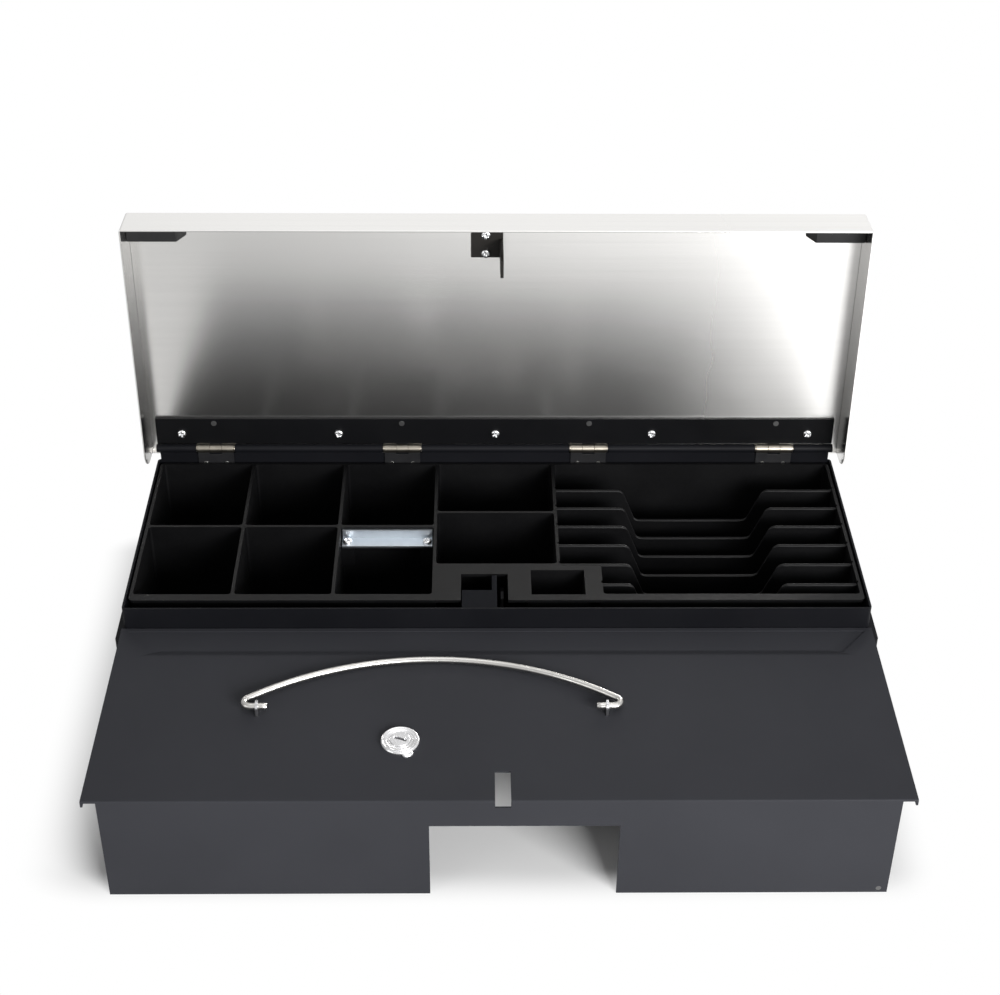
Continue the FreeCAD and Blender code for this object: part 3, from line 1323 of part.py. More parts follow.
def make_handle_wire():
    """The bail: one round wire with two stubs, two tight bends and a long shallow bow, in short lengths."""
    wire = number("wire_radius")
    bend = number("handle_bend")
    half = number("handle_half")
    rise = number("handle_rise")
    reach = (half ** 2 + rise ** 2) / (2 * rise)
    angle = math.asin(half / reach)
    middle = number("handle_middle")
    base = number(HANDLE_Y)
    height = number(HANDLE_Z)
    stub = number("ear_gap + stub_past")

    def spot(x, y):
        return FreeCAD.Vector(middle + x, base + y, height)

    def about(x, y, radius, turn):
        return spot(x + radius * math.sin(turn), y + radius * math.cos(turn))

    bow_y = bend + rise - reach
    turns = [-math.pi + (math.pi - angle) * step / BEND_STEPS for step in range(BEND_STEPS + 1)]
    left = [(about(-half, bend, bend, turn), turn) for turn in turns]
    sweep = [-angle + 2 * angle * step / BOW_STEPS for step in range(1, BOW_STEPS)]
    bow = [(about(0, bow_y, reach + bend, turn), turn) for turn in sweep]
    right = [(about(half, bend, bend, -turn), -turn) for turn in reversed(turns)]
    path = [(spot(-half + stub, 0), -math.pi)] + left + bow + right + [(spot(half - stub, 0), math.pi)]
    rings = []
    for centre, turn in path:
        facing = FreeCAD.Vector(math.cos(turn), -math.sin(turn), 0)
        rings.append(Part.Wire([Part.makeCircle(wire, centre, facing)]))
    item = doc.addObject("Part::Feature", "handle_wire")
    item.Shape = Part.makeLoft(rings, True, True)
    piece(item, "handle_wire", "handle")


def lock_spot(z):
    """A point on the lock's axis."""
    return ("lock_x", "-lock_back", z)


def make_cover_lock():
    """The cam lock: body with a ring on the plate, nut below it, and the plug, cam and screw that turn."""
    low = f"{COVER_UNDER} - lock_barrel_deep"
    collar = rod("lock_ring_blank", "lock_ring", lock_spot("cover_high"), "lock_ring_tall")
    barrel = rod("lock_barrel_blank", "lock_barrel", lock_spot(low), "lock_barrel_deep + sheet")
    start = lock_spot(f"{low} - lock_barrel_deep")
    bore = rod("lock_bore", "plug_radius + plug_clear", start, "4 * lock_barrel_deep")
    shell = cut("lock_shell", fuse("lock_blank", [collar, barrel]), [bore])
    doc.recompute()
    edges = []
    for count, edge in enumerate(shell.Shape.Edges, start=1):
        on_top = near(edge.BoundBox.ZMin, "cover_high + lock_ring_tall")
        if on_top and edge.BoundBox.XLength > number("3 * plug_radius"):
            edges.append((count, number("lock_ring_tall / 2"), number("lock_ring_tall / 2")))
    item = doc.addObject("Part::Chamfer", "lock_body")
    item.Base = shell
    item.Edges = edges
    piece(item, "cover_lock_body")

    start = lock_spot(f"{COVER_UNDER} - lock_nut_tall")
    blank = hexagon("lock_nut_blank", "lock_nut_radius", start, "lock_nut_tall")
    start = lock_spot(f"{COVER_UNDER} - 2 * lock_nut_tall")
    hole = rod("lock_nut_hole", "lock_barrel + thread_clear", start, "4 * lock_nut_tall")
    piece(cut("lock_nut_cut", blank, [hole]), "cover_lock_nut")

    top = "(cover_high + lock_ring_tall + plug_proud)"
    cam_top = f"({low} - cam_gap)"
    plug = rod("plug_blank", "plug_radius", lock_spot(cam_top), f"{top} - {cam_top}")
    across = ("lock_x - key_long / 2", "lock_x + key_long / 2")
    along = ("-lock_back - key_wide / 2", "-lock_back + key_wide / 2")
    slot = box("key_slot", across, along, (f"{top} - key_deep", f"{top} + key_deep"))
    piece(cut("lock_plug_cut", plug, [slot]), "lock_plug")

    cam_low = f"{cam_top} - cam_thick"
    along = ("-lock_back - cam_wide / 2", "-lock_back + cam_wide / 2")
    arm = box("cam_arm", ("lock_x - cam_long", "lock_x"), along, (cam_low, cam_top))
    hub = rod("cam_hub", "cam_wide / 2 + cam_thick", lock_spot(cam_low), "cam_thick")
    tip = rod("cam_tip", "cam_wide / 2", ("lock_x - cam_long", "-lock_back", cam_low), "cam_thick")
    start = lock_spot(f"{cam_low} - cam_thick")
    hole = rod("cam_hole", "screw_radius + thread_clear", start, "4 * cam_thick")
    piece(cut("lock_cam_cut", fuse("cam_blank", [arm, hub, tip]), [hole]), "lock_cam")
    start = lock_spot(f"{cam_low} - cam_screw_tall")
    head = rod("cam_screw_head", "screw_head + screw_radius", start, "cam_screw_tall")
    shank = rod("cam_screw_shank", "screw_radius", lock_spot(cam_low), "cam_thick")
    piece(fuse("cam_screw_solid", [head, shank]), "cam_screw")


make_housing_base()
make_housing_top_frame()
make_case_rivets()
make_tray_rest(-1, "tray_rest_left")
make_tray_rest(1, "tray_rest_right")
make_rubber_feet()
make_cable_grommet()
for order, centre in enumerate(HINGES, start=1):
    make_hinge(order, centre)
make_upstand_rivets()
make_lid_pan()
make_lid_rail()
make_rail_fasteners()
make_lid_corner(-1, "lid_corner_left")
make_lid_corner(1, "lid_corner_right")
make_striker()
make_tray()
for order, line in enumerate(DIVIDERS, start=1):
    make_note_divider(order, line)
make_lock_bracket()
make_mechanism_bracket()
make_latch()
make_solenoid()
make_latch_spring()
make_cover_shell()
make_cover_rivet()
make_handle_ear(-1, EARS[0][1], "handle_ear_left")
make_handle_ear(1, EARS[1][1], "handle_ear_right")
make_handle_wire()
make_cover_lock()
doc.recompute()

faults = [each.Name for each in doc.Objects if "Invalid" in each.State or "Error" in each.State]
for each in PIECES:
    if each.Shape.isNull() or not each.Shape.isValid() or not each.Shape.Solids:
        faults.append(each.Label)
if faults:
    raise RuntimeError("failed: " + ", ".join(faults))
os.makedirs("parts", exist_ok=True)
for each in PIECES:
    each.Shape.exportStep(f"parts/{each.Label}.step")
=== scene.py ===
import bmesh
import bpy
import json
import math
from mathutils import Matrix, Vector


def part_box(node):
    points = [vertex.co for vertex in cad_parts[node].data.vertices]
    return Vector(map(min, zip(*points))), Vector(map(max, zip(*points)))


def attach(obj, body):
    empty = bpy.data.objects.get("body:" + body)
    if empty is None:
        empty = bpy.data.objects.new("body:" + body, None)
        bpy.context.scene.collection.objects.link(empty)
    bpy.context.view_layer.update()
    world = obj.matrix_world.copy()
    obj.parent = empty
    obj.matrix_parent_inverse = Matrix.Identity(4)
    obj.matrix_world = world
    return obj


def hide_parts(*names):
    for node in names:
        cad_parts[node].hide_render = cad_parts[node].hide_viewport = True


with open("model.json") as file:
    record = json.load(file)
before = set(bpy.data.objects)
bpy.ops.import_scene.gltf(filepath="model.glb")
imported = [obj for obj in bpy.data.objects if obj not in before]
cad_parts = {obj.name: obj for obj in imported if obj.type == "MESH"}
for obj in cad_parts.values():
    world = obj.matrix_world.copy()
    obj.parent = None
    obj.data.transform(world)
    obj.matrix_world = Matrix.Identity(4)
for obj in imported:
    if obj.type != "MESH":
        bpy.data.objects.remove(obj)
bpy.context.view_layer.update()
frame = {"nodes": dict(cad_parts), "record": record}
MM = 0.001

# The hinge axis, and how far the lid is turned back from shut in the frame.
JOINTS = {each["name"]: each for each in frame["record"]["behaviour"]["joints"]}
HINGE = Vector(JOINTS["lid_hinge"]["pos_m"])
LID_OPEN = math.radians(92.8)
LID = Matrix.Translation(HINGE) @ Matrix.Rotation(-LID_OPEN, 4, "X")

# The camera stands where the photograph's straight edges put it, looking down at the open drawer.
LENS = 66.03
SENSOR = 36.0
EYE = Vector((-0.01455, HINGE.y + 0.005 - 1.02311, 0.78337))
YAW = -0.0177
DIP = 0.6208
ROLL = 0.0101


def place_camera():
    """Turns the camera by its yaw, its dip and its roll, and makes it the scene's."""
    data = bpy.data.cameras.new("camera")
    data.lens = LENS
    data.sensor_width = SENSOR
    data.clip_start = 0.05
    data.clip_end = 30
    camera = bpy.data.objects.new("camera", data)
    bpy.context.scene.collection.objects.link(camera)
    across = Vector((math.cos(YAW), math.sin(YAW), 0))
    level = Vector((-math.sin(YAW), math.cos(YAW), 0))
    ahead = level * math.cos(DIP) - Vector((0, 0, math.sin(DIP)))
    upward = level * math.sin(DIP) + Vector((0, 0, math.cos(DIP)))
    right = across * math.cos(ROLL) + upward * math.sin(ROLL)
    top = upward * math.cos(ROLL) - across * math.sin(ROLL)
    turned_axes = Matrix((right, top, -ahead)).transposed()
    camera.matrix_world = Matrix.Translation(EYE) @ turned_axes.to_4x4()
    bpy.context.scene.camera = camera


# Node groups that several finishes share.


def new_group(name, inputs, outputs):
    """An empty shader group; inputs are (name, value) numbers and outputs are names of numbers."""
    tree = bpy.data.node_groups.new(name, "ShaderNodeTree")
    for label, value in inputs:
        socket = tree.interface.new_socket(
            name=label, in_out="INPUT", socket_type="NodeSocketFloat"
        )
        socket.default_value = value
    for label in outputs:
        tree.interface.new_socket(name=label, in_out="OUTPUT", socket_type="NodeSocketFloat")
    return tree, tree.nodes.new("NodeGroupInput"), tree.nodes.new("NodeGroupOutput")


def math_node(tree, operation, first, second=None):
    """A maths node whose inputs are sockets or plain numbers."""
    node = tree.nodes.new("ShaderNodeMath")
    node.operation = operation
    for place, value in enumerate((first, second)):
        if value is None:
            continue
        if isinstance(value, (int, float)):
            node.inputs[place].default_value = value
        else:
            tree.links.new(value, node.inputs[place])
    return node.outputs[0]


def noise(tree, vector, scale, detail=2.0, roughness=0.5):
    """Plain noise of a scale that is a number or a socket."""
    node = tree.nodes.new("ShaderNodeTexNoise")
    tree.links.new(vector, node.inputs["Vector"])
    if isinstance(scale, (int, float)):
        node.inputs["Scale"].default_value = scale
    else:
        tree.links.new(scale, node.inputs["Scale"])
    node.inputs["Detail"].default_value = detail
    node.inputs["Roughness"].default_value = roughness
    return node.outputs["Fac"]


def parts_of(tree, vector):
    """The X, Y and Z of a vector."""
    node = tree.nodes.new("ShaderNodeSeparateXYZ")
    tree.links.new(vector, node.inputs[0])
    return node.outputs


def place_on_piece(tree):
    """Where a point lies in its piece's own coordinates, which are the frame's."""
    return tree.nodes.new("ShaderNodeTexCoord").outputs["Object"]


def soft_step(tree, value, start, end, low=0.0, high=1.0):
    """A number that goes smoothly from low to high between start and end."""
    node = tree.nodes.new("ShaderNodeMapRange")
    node.interpolation_type = "SMOOTHSTEP"
    limits = (("From Min", start), ("From Max", end), ("To Min", low), ("To Max", high))
    for label, limit in limits:
        if isinstance(limit, (int, float)):
            node.inputs[label].default_value = limit
        else:
            tree.links.new(limit, node.inputs[label])
    tree.links.new(value, node.inputs["Value"])
    return node.outputs["Result"]


# How many grains, lines or scratches each finish has to the metre.
POWDER_GRAINS = 1600.0
BRUSHED_LINES = 1500.0
MOULDED_GRAINS = 2600.0
PLATED_SCRATCHES = 900.0
# Powder coat: its slow waviness against its grain, and the share of each in its height.
PEEL_SCALE = 0.22
FINE_SHARE = 0.65
PEEL_SHARE = 0.35


def powder_grain_group():
    """Powder coat: a fine pebbled height, a slow tone in its colour, and faint rubbed patches."""
    sizes = [("Grains per metre", POWDER_GRAINS)]
    tree, given, made = new_group("powder_grain", sizes, ["Height", "Tone", "Rubbed"])
    grains = given.outputs["Grains per metre"]
    place = place_on_piece(tree)
    fine = noise(tree, place, grains, detail=3.0, roughness=0.6)
    peel = noise(tree, place, math_node(tree, "MULTIPLY", grains, PEEL_SCALE), detail=1.0)
    fine_part = math_node(tree, "MULTIPLY", fine, FINE_SHARE)
    peel_part = math_node(tree, "MULTIPLY", peel, PEEL_SHARE)
    tree.links.new(math_node(tree, "ADD", fine_part, peel_part), made.inputs["Height"])
    tone = noise(tree, place, 9.0, detail=3.0, roughness=0.55)
    tree.links.new(tone, made.inputs["Tone"])
    rubbed = noise(tree, place, 38.0, detail=5.0, roughness=0.65)
    tree.links.new(rubbed, made.inputs["Rubbed"])
    return tree


# A face whose normal leans this far to X is one of the sheet's turned sides.
SIDE_FACING = 0.7
# How much slower the brushing changes along its lines than across them.
ALONG_LINES = 0.006
# The scale of its broader streaks against its lines.
STREAK_SCALE = 0.23
# The brushing grows coarser from one X to the other, towards the sheet's right end.
COARSE_FROM = 0.06
COARSE_TO = 0.22


def brushed_lines_group():
    """Brushing with the sheet's grain: streaks along X, or along the depth on its turned sides."""
    sizes = [("Lines per metre", BRUSHED_LINES)]
    outputs = ["Height", "Tone", "Cloud", "Turned", "Coarse end"]
    tree, given, made = new_group("brushed_lines", sizes, outputs)
    place = place_on_piece(tree)
    spot = parts_of(tree, place)
    facing = parts_of(tree, tree.nodes.new("ShaderNodeNewGeometry").outputs["Normal"])
    leaning = math_node(tree, "ABSOLUTE", facing["X"])
    sideways = math_node(tree, "GREATER_THAN", leaning, SIDE_FACING)
    flat = math_node(tree, "SUBTRACT", 1.0, sideways)
    lines = given.outputs["Lines per metre"]
    long = math_node(tree, "MULTIPLY", lines, ALONG_LINES)
    x = math_node(tree, "MULTIPLY", spot["X"], long)
    flat_share = math_node(tree, "MULTIPLY", flat, lines)
    across = math_node(tree, "ADD", flat_share, math_node(tree, "MULTIPLY", sideways, long))
    y = math_node(tree, "MULTIPLY", spot["Y"], across)
    z = math_node(tree, "MULTIPLY", spot["Z"], lines)
    joined = tree.nodes.new("ShaderNodeCombineXYZ")
    for axis, value in enumerate((x, y, z)):
        tree.links.new(value, joined.inputs[axis])
    stretched = joined.outputs[0]
    height = noise(tree, stretched, 1.0, detail=2.0, roughness=0.6)
    tree.links.new(height, made.inputs["Height"])
    tone = noise(tree, stretched, STREAK_SCALE, detail=3.0, roughness=0.6)
    tree.links.new(tone, made.inputs["Tone"])
    cloud = noise(tree, place, 14.0, detail=3.0, roughness=0.5)
    tree.links.new(cloud, made.inputs["Cloud"])
    tree.links.new(sideways, made.inputs["Turned"])
    coarse = soft_step(tree, spot["X"], COARSE_FROM, COARSE_TO)
    tree.links.new(math_node(tree, "MULTIPLY", coarse, flat), made.inputs["Coarse end"])
    return tree


def moulded_grain_group():
    """Moulded plastic: a fine spark-eroded grain and slow unevenness of its gloss."""
    sizes = [("Grains per metre", MOULDED_GRAINS)]
    tree, given, made = new_group("moulded_grain", sizes, ["Height", "Sheen", "Dust"])
    grains = given.outputs["Grains per metre"]
    place = place_on_piece(tree)
    cells = tree.nodes.new("ShaderNodeTexVoronoi")
    tree.links.new(place, cells.inputs["Vector"])
    tree.links.new(grains, cells.inputs["Scale"])
    half_cells = math_node(tree, "MULTIPLY", cells.outputs["Distance"], 0.5)
    half_fine = math_node(tree, "MULTIPLY", noise(tree, place, grains, detail=2.0), 0.5)
    tree.links.new(math_node(tree, "ADD", half_cells, half_fine), made.inputs["Height"])
    sheen = noise(tree, place, 22.0, detail=3.0, roughness=0.6)
    tree.links.new(sheen, made.inputs["Sheen"])
    dust = noise(tree, place, 420.0, detail=4.0, roughness=0.7)
    tree.links.new(dust, made.inputs["Dust"])
    return tree


def plated_skin_group():
    """Plated small parts: soft stains and fine scratches."""
    sizes = [("Scratches per metre", PLATED_SCRATCHES)]
    tree, given, made = new_group("plated_skin", sizes, ["Height", "Stain"])
    place = place_on_piece(tree)
    stretch = tree.nodes.new("ShaderNodeMapping")
    stretch.inputs["Scale"].default_value = (0.12, 1.0, 1.0)
    tree.links.new(place, stretch.inputs["Vector"])
    count = given.outputs["Scratches per metre"]
    scratches = noise(tree, stretch.outputs[0], count, detail=3.0, roughness=0.7)
    tree.links.new(scratches, made.inputs["Height"])
    stain = noise(tree, place, 130.0, detail=3.0, roughness=0.6)
    tree.links.new(stain, made.inputs["Stain"])
    return tree


# The band pressed into the cover: its back and front lines, and its half width at each.
BAND_BACK = -0.01593
BAND_FRONT = -0.03593
BAND_BACK_HALF = 0.2230
BAND_FRONT_HALF = 0.2060
BAND_TAPER = (BAND_BACK_HALF - BAND_FRONT_HALF) / (BAND_BACK - BAND_FRONT)
# How much wider the soft border is at the band's slanted ends than along its front.
END_SOFTER = 2.5
# How wide its soft front border is, and how deep the bump makes it look.
BAND_BORDER = 0.006
BAND_LOOK_DEPTH = 0.0011


def pressed_step_group():
    """The soft front and end borders of the cover's pressed band: nought inside, one outside."""
    tree, given, made = new_group("pressed_step", [("Border", 0.004)], ["Height"])
    spot = parts_of(tree, place_on_piece(tree))
    aside = math_node(tree, "ABSOLUTE", spot["X"])
    front_line = math_node(tree, "SUBTRACT", BAND_FRONT, spot["Y"])
    from_back = math_node(tree, "SUBTRACT", BAND_BACK, spot["Y"])
    beyond = math_node(tree, "ADD", aside, math_node(tree, "MULTIPLY", from_back, BAND_TAPER))
    across_end = math_node(tree, "SUBTRACT", beyond, BAND_BACK_HALF)
    softer = 1 / (math.hypot(1, BAND_TAPER) * END_SOFTER)
    end_line = math_node(tree, "MULTIPLY", across_end, softer)
    outside = math_node(tree, "MAXIMUM", front_line, end_line)
    inner = math_node(tree, "MULTIPLY", given.outputs["Border"], -0.5)
    outer = math_node(tree, "MULTIPLY", given.outputs["Border"], 0.5)
    tree.links.new(soft_step(tree, outside, inner, outer), made.inputs["Height"])
    return tree


def near_axis_group():
    """A mask that is one within a radius of the hinge axis and nought outside it."""
    tree, given, made = new_group("near_hinge_axis", [("Radius", 0.0031)], ["Mask"])
    spot = parts_of(tree, place_on_piece(tree))
    squares = []
    for letter, middle in (("Y", HINGE.y), ("Z", HINGE.z)):
        off = math_node(tree, "SUBTRACT", spot[letter], middle)
        squares.append(math_node(tree, "MULTIPLY", off, off))
    away = math_node(tree, "SQRT", math_node(tree, "ADD", *squares))
    within = math_node(tree, "LESS_THAN", away, given.outputs["Radius"])
    tree.links.new(within, made.inputs["Mask"])
    return tree


POWDER = powder_grain_group()
BRUSHING = brushed_lines_group()
MOULDED = moulded_grain_group()
PLATED = plated_skin_group()
NEAR_AXIS = near_axis_group()
PRESSED = pressed_step_group()


def finish_with(name, skin_group, sizes):
    """A material with its own Principled shader and one placed group."""
    material = bpy.data.materials.new(name)
    material.use_nodes = True
    tree = material.node_tree
    shader = tree.nodes["Principled BSDF"]
    placed = tree.nodes.new("ShaderNodeGroup")
    placed.node_tree = skin_group
    for label, value in sizes.items():
        placed.inputs[label].default_value = value
    return material, tree, shader, placed


def ramp(tree, factor, low, high, start=0.3, end=0.7):
    """A number or colour that goes from low to high over part of a mask's range."""
    if isinstance(low, (int, float)):
        node = tree.nodes.new("ShaderNodeMapRange")
        node.inputs["From Min"].default_value = start
        node.inputs["From Max"].default_value = end
        node.inputs["To Min"].default_value = low
        node.inputs["To Max"].default_value = high
        tree.links.new(factor, node.inputs["Value"])
        return node.outputs["Result"]
    node = tree.nodes.new("ShaderNodeValToRGB")
    node.color_ramp.elements[0].position = start
    node.color_ramp.elements[0].color = (*low, 1)
    node.color_ramp.elements[1].position = end
    node.color_ramp.elements[1].color = (*high, 1)
    tree.links.new(factor, node.inputs["Fac"])
    return node.outputs["Color"]


def blend_colours(tree, factor, first, second):
    """The first colour where the mask is nought and the second where it is one."""
    node = tree.nodes.new("ShaderNodeMix")
    node.data_type = "RGBA"
    tree.links.new(factor, node.inputs["Factor"])
    colours = [each for each in node.inputs if each.type == "RGBA"]
    tree.links.new(first, colours[0])
    tree.links.new(second, colours[1])
    return next(each for each in node.outputs if each.type == "RGBA")


def bump(tree, shader, height, strength, depth, under=None):
    """A bump in metres on the shader's normal, over the normal under it if there is one."""
    node = tree.nodes.new("ShaderNodeBump")
    if under:
        tree.links.new(under, node.inputs["Normal"])
    node.inputs["Strength"].default_value = strength
    node.inputs["Distance"].default_value = depth
    tree.links.new(height, node.inputs["Height"])
    tree.links.new(node.outputs["Normal"], shader.inputs["Normal"])


POWDER_BUMP = 0.35
POWDER_DEPTH = 0.00012


def powder_coat(name, dark, light, smooth, rough, gloss, under=None):
    """Powder coat; under makes the normal of a form that the coat lies over."""
    material, tree, shader, skin = finish_with(name, POWDER, {"Grains per metre": POWDER_GRAINS})
    tree.links.new(ramp(tree, skin.outputs["Tone"], dark, light), shader.inputs["Base Color"])
    tree.links.new(ramp(tree, skin.outputs["Rubbed"], smooth, rough), shader.inputs["Roughness"])
    shader.inputs["Specular IOR Level"].default_value = gloss
    below = under(tree) if under else None
    bump(tree, shader, skin.outputs["Height"], POWDER_BUMP, POWDER_DEPTH, below)
    return material


def pressed_band(tree):
    """The normal of the cover's softly pressed rear band."""
    step = tree.nodes.new("ShaderNodeGroup")
    step.node_tree = PRESSED
    step.inputs["Border"].default_value = BAND_BORDER
    pressed = tree.nodes.new("ShaderNodeBump")
    pressed.inputs["Strength"].default_value = 1.0
    pressed.inputs["Distance"].default_value = BAND_LOOK_DEPTH
    tree.links.new(step.outputs["Height"], pressed.inputs["Height"])
    return pressed.outputs["Normal"]


# How the steel's turned sides and its right end differ from its face. The sides' darker tone is
# painted shade.
SIDE_PAINTED_SHADE = 0.72
SIDE_SMOOTHER = 0.05
END_ROUGHER = 0.12


def brushed_steel(name, dark, light, smooth, rough, drawn):
    """Brushed steel whose turned sides are smoother and darkened by painted shade, and whose right
    end is rougher.
    """
    material, tree, shader, skin = finish_with(name, BRUSHING, {"Lines per metre": BRUSHED_LINES})
    tone = skin.outputs["Tone"]
    face = ramp(tree, tone, dark, light)
    # The turned sides' colour is the face's tone darkened by painted shade, chosen by which way the
    # face points.
    side_painted_shade_dark, side_painted_shade_light = (tuple(SIDE_PAINTED_SHADE * part for part in each) for each in (dark, light))
    side = ramp(tree, tone, side_painted_shade_dark, side_painted_shade_light)
    mixed = blend_colours(tree, skin.outputs["Turned"], face, side)
    tree.links.new(mixed, shader.inputs["Base Color"])
    clouded = ramp(tree, skin.outputs["Cloud"], smooth, rough)
    coarser = math_node(tree, "MULTIPLY", skin.outputs["Coarse end"], END_ROUGHER)
    finer = math_node(tree, "MULTIPLY", skin.outputs["Turned"], SIDE_SMOOTHER)
    roughness = math_node(tree, "SUBTRACT", math_node(tree, "ADD", clouded, coarser), finer)
    tree.links.new(roughness, shader.inputs["Roughness"])
    shader.inputs["Metallic"].default_value = 1.0
    shader.inputs["Anisotropic"].default_value = drawn
    grain = tree.nodes.new("ShaderNodeCombineXYZ")
    grain.inputs["Y"].default_value = 0.7
    grain.inputs["Z"].default_value = 0.7
    tree.links.new(grain.outputs[0], shader.inputs["Tangent"])
    bump(tree, shader, skin.outputs["Height"], strength=0.18, depth=0.00003)
    return material


def moulded_plastic(name, dark, light, smooth, rough, gloss, grain=MOULDED_GRAINS):
    """Moulded plastic or rubber with a fine grain and a little dust."""
    material, tree, shader, skin = finish_with(name, MOULDED, {"Grains per metre": grain})
    dusty = ramp(tree, skin.outputs["Dust"], dark, light, start=0.45, end=0.8)
    tree.links.new(dusty, shader.inputs["Base Color"])
    tree.links.new(ramp(tree, skin.outputs["Sheen"], smooth, rough), shader.inputs["Roughness"])
    shader.inputs["Specular IOR Level"].default_value = gloss
    bump(tree, shader, skin.outputs["Height"], strength=0.3, depth=0.00006)
    return material


def plated_metal(name, dark, light, smooth, rough, metallic=1.0):
    """Plated or bare metal, smoother where its stains are lighter."""
    sizes = {"Scratches per metre": PLATED_SCRATCHES}
    material, tree, shader, skin = finish_with(name, PLATED, sizes)
    tree.links.new(ramp(tree, skin.outputs["Stain"], dark, light), shader.inputs["Base Color"])
    tree.links.new(ramp(tree, skin.outputs["Stain"], rough, smooth), shader.inputs["Roughness"])
    shader.inputs["Metallic"].default_value = metallic
    bump(tree, shader, skin.outputs["Height"], strength=0.12, depth=0.00002)
    return material


def hinge_steel(name):
    """Black leaves with bare satin knuckles, told apart by their distance from the hinge axis."""
    sizes = {"Scratches per metre": PLATED_SCRATCHES}
    material, tree, shader, skin = finish_with(name, PLATED, sizes)
    near = tree.nodes.new("ShaderNodeGroup")
    near.node_tree = NEAR_AXIS
    mask = near.outputs["Mask"]
    bare = ramp(tree, skin.outputs["Stain"], (0.27, 0.25, 0.21), (0.36, 0.33, 0.28))
    black = ramp(tree, skin.outputs["Stain"], (0.006, 0.006, 0.007), (0.010, 0.010, 0.011))
    tree.links.new(blend_colours(tree, mask, black, bare), shader.inputs["Base Color"])
    roughness = ramp(tree, mask, 0.45, 0.34, start=0.0, end=1.0)
    tree.links.new(roughness, shader.inputs["Roughness"])
    tree.links.new(mask, shader.inputs["Metallic"])
    return material


# Each finish's name, its dark and light tones, its least and greatest roughness, then its gloss,
# its share of metal or how strongly it is drawn, and for some their own grains per metre.
FINISHES = {
    "case_steel": powder_coat(
        "case_powder", (0.0036, 0.0038, 0.0050), (0.0056, 0.0058, 0.0074), 0.46, 0.56, 0.10
    ),
    "cover_steel": powder_coat(
        "cover_powder", (0.0275, 0.0282, 0.0325), (0.0322, 0.0330, 0.0380), 0.48, 0.58, 0.06,
        pressed_band,
    ),
    "black_steel": powder_coat(
        "rail_powder", (0.0022, 0.0023, 0.0027), (0.0034, 0.0035, 0.0042), 0.42, 0.52, 0.10
    ),
    "brushed_lid": brushed_steel(
        "lid_brushed_steel", (0.92, 0.91, 0.89), (0.95, 0.94, 0.92), 0.205, 0.220, 0.58
    ),
    "plain_steel": plated_metal("satin_steel", (0.50, 0.49, 0.47), (0.62, 0.61, 0.59), 0.24, 0.34),
    "bright_steel": plated_metal("bright_zinc", (0.74, 0.75, 0.76), (0.86, 0.86, 0.87), 0.20, 0.30),
    "zinc": plated_metal("zinc_plate", (0.58, 0.62, 0.66), (0.63, 0.67, 0.71), 0.30, 0.36),
    "chrome": plated_metal("lock_plating", (0.72, 0.72, 0.73), (0.80, 0.80, 0.81), 0.20, 0.30),
    "black_plastic": moulded_plastic(
        "tray_plastic", (0.0012, 0.0012, 0.0015), (0.0030, 0.0030, 0.0034), 0.44, 0.54, 0.22
    ),
    "coil_tape": moulded_plastic(
        "coil_tape", (0.30, 0.17, 0.03), (0.42, 0.25, 0.05), 0.35, 0.5, 0.5, 900.0
    ),
    "rubber": moulded_plastic(
        "black_rubber", (0.010, 0.010, 0.010), (0.018, 0.018, 0.018), 0.65, 0.8, 0.3, 1500.0
    ),
    "hinge_black_and_bare": hinge_steel("hinge_black_and_bare"),
    "blackened_steel": plated_metal(
        "blackened_steel", (0.010, 0.010, 0.011), (0.018, 0.018, 0.019), 0.36, 0.48, 0.8
    ),
    "bracket_black": powder_coat(
        "bracket_black", (0.0030, 0.0034, 0.0050), (0.0046, 0.0052, 0.0072), 0.48, 0.58, 0.05
    ),
    "striker_black": powder_coat(
        "striker_black", (0.0075, 0.0062, 0.0050), (0.0115, 0.0096, 0.0080), 0.38, 0.48, 0.3
    ),
    "bumper_grey": moulded_plastic(
        "bumper_grey", (0.0085, 0.0085, 0.0090), (0.0130, 0.0130, 0.0140), 0.48, 0.58, 0.3
    ),
    "rivet_grey": plated_metal("rivet_grey", (0.16, 0.16, 0.16), (0.24, 0.24, 0.24), 0.36, 0.46),
    "ear_steel": plated_metal("ear_steel", (0.46, 0.46, 0.47), (0.60, 0.60, 0.61), 0.28, 0.38),
}

# Nodes whose finish in the photograph differs from that of their slot's other nodes.
OWN_FINISH = {
    "latch_hook": "blackened_steel", "latch_pivot_pin": "blackened_steel",
    "latch_spring": "blackened_steel", "solenoid_plunger": "blackened_steel",
    "solenoid_frame": "blackened_steel",
    "mechanism_bracket": "bracket_black", "striker_bracket": "striker_black",
    "lid_corner_left": "bumper_grey", "lid_corner_right": "bumper_grey",
    "hinge_rivets_lid": "rivet_grey", "cover_wall_rivet": "rivet_grey",
    "handle_ear_left": "ear_steel", "handle_ear_right": "ear_steel",
}
for turn in "1234":
    for kind in ("hinge_leaf_case", "hinge_leaf_lid", "hinge_pin"):
        OWN_FINISH[f"{kind}_{turn}"] = "hinge_black_and_bare"


def smooth_faces_tree():
    """A modifier that shades every face smooth, so that rounded edges show no facets."""
    tree = bpy.data.node_groups.new("smooth_faces", "GeometryNodeTree")
    tree.interface.new_socket(name="Geometry", in_out="INPUT", socket_type="NodeSocketGeometry")
    tree.interface.new_socket(name="Geometry", in_out="OUTPUT", socket_type="NodeSocketGeometry")
    given = tree.nodes.new("NodeGroupInput")
    shade = tree.nodes.new("GeometryNodeSetShadeSmooth")
    made = tree.nodes.new("NodeGroupOutput")
    tree.links.new(given.outputs[0], shade.inputs[0])
    tree.links.new(shade.outputs[0], made.inputs[0])
    return tree


SMOOTH = smooth_faces_tree()
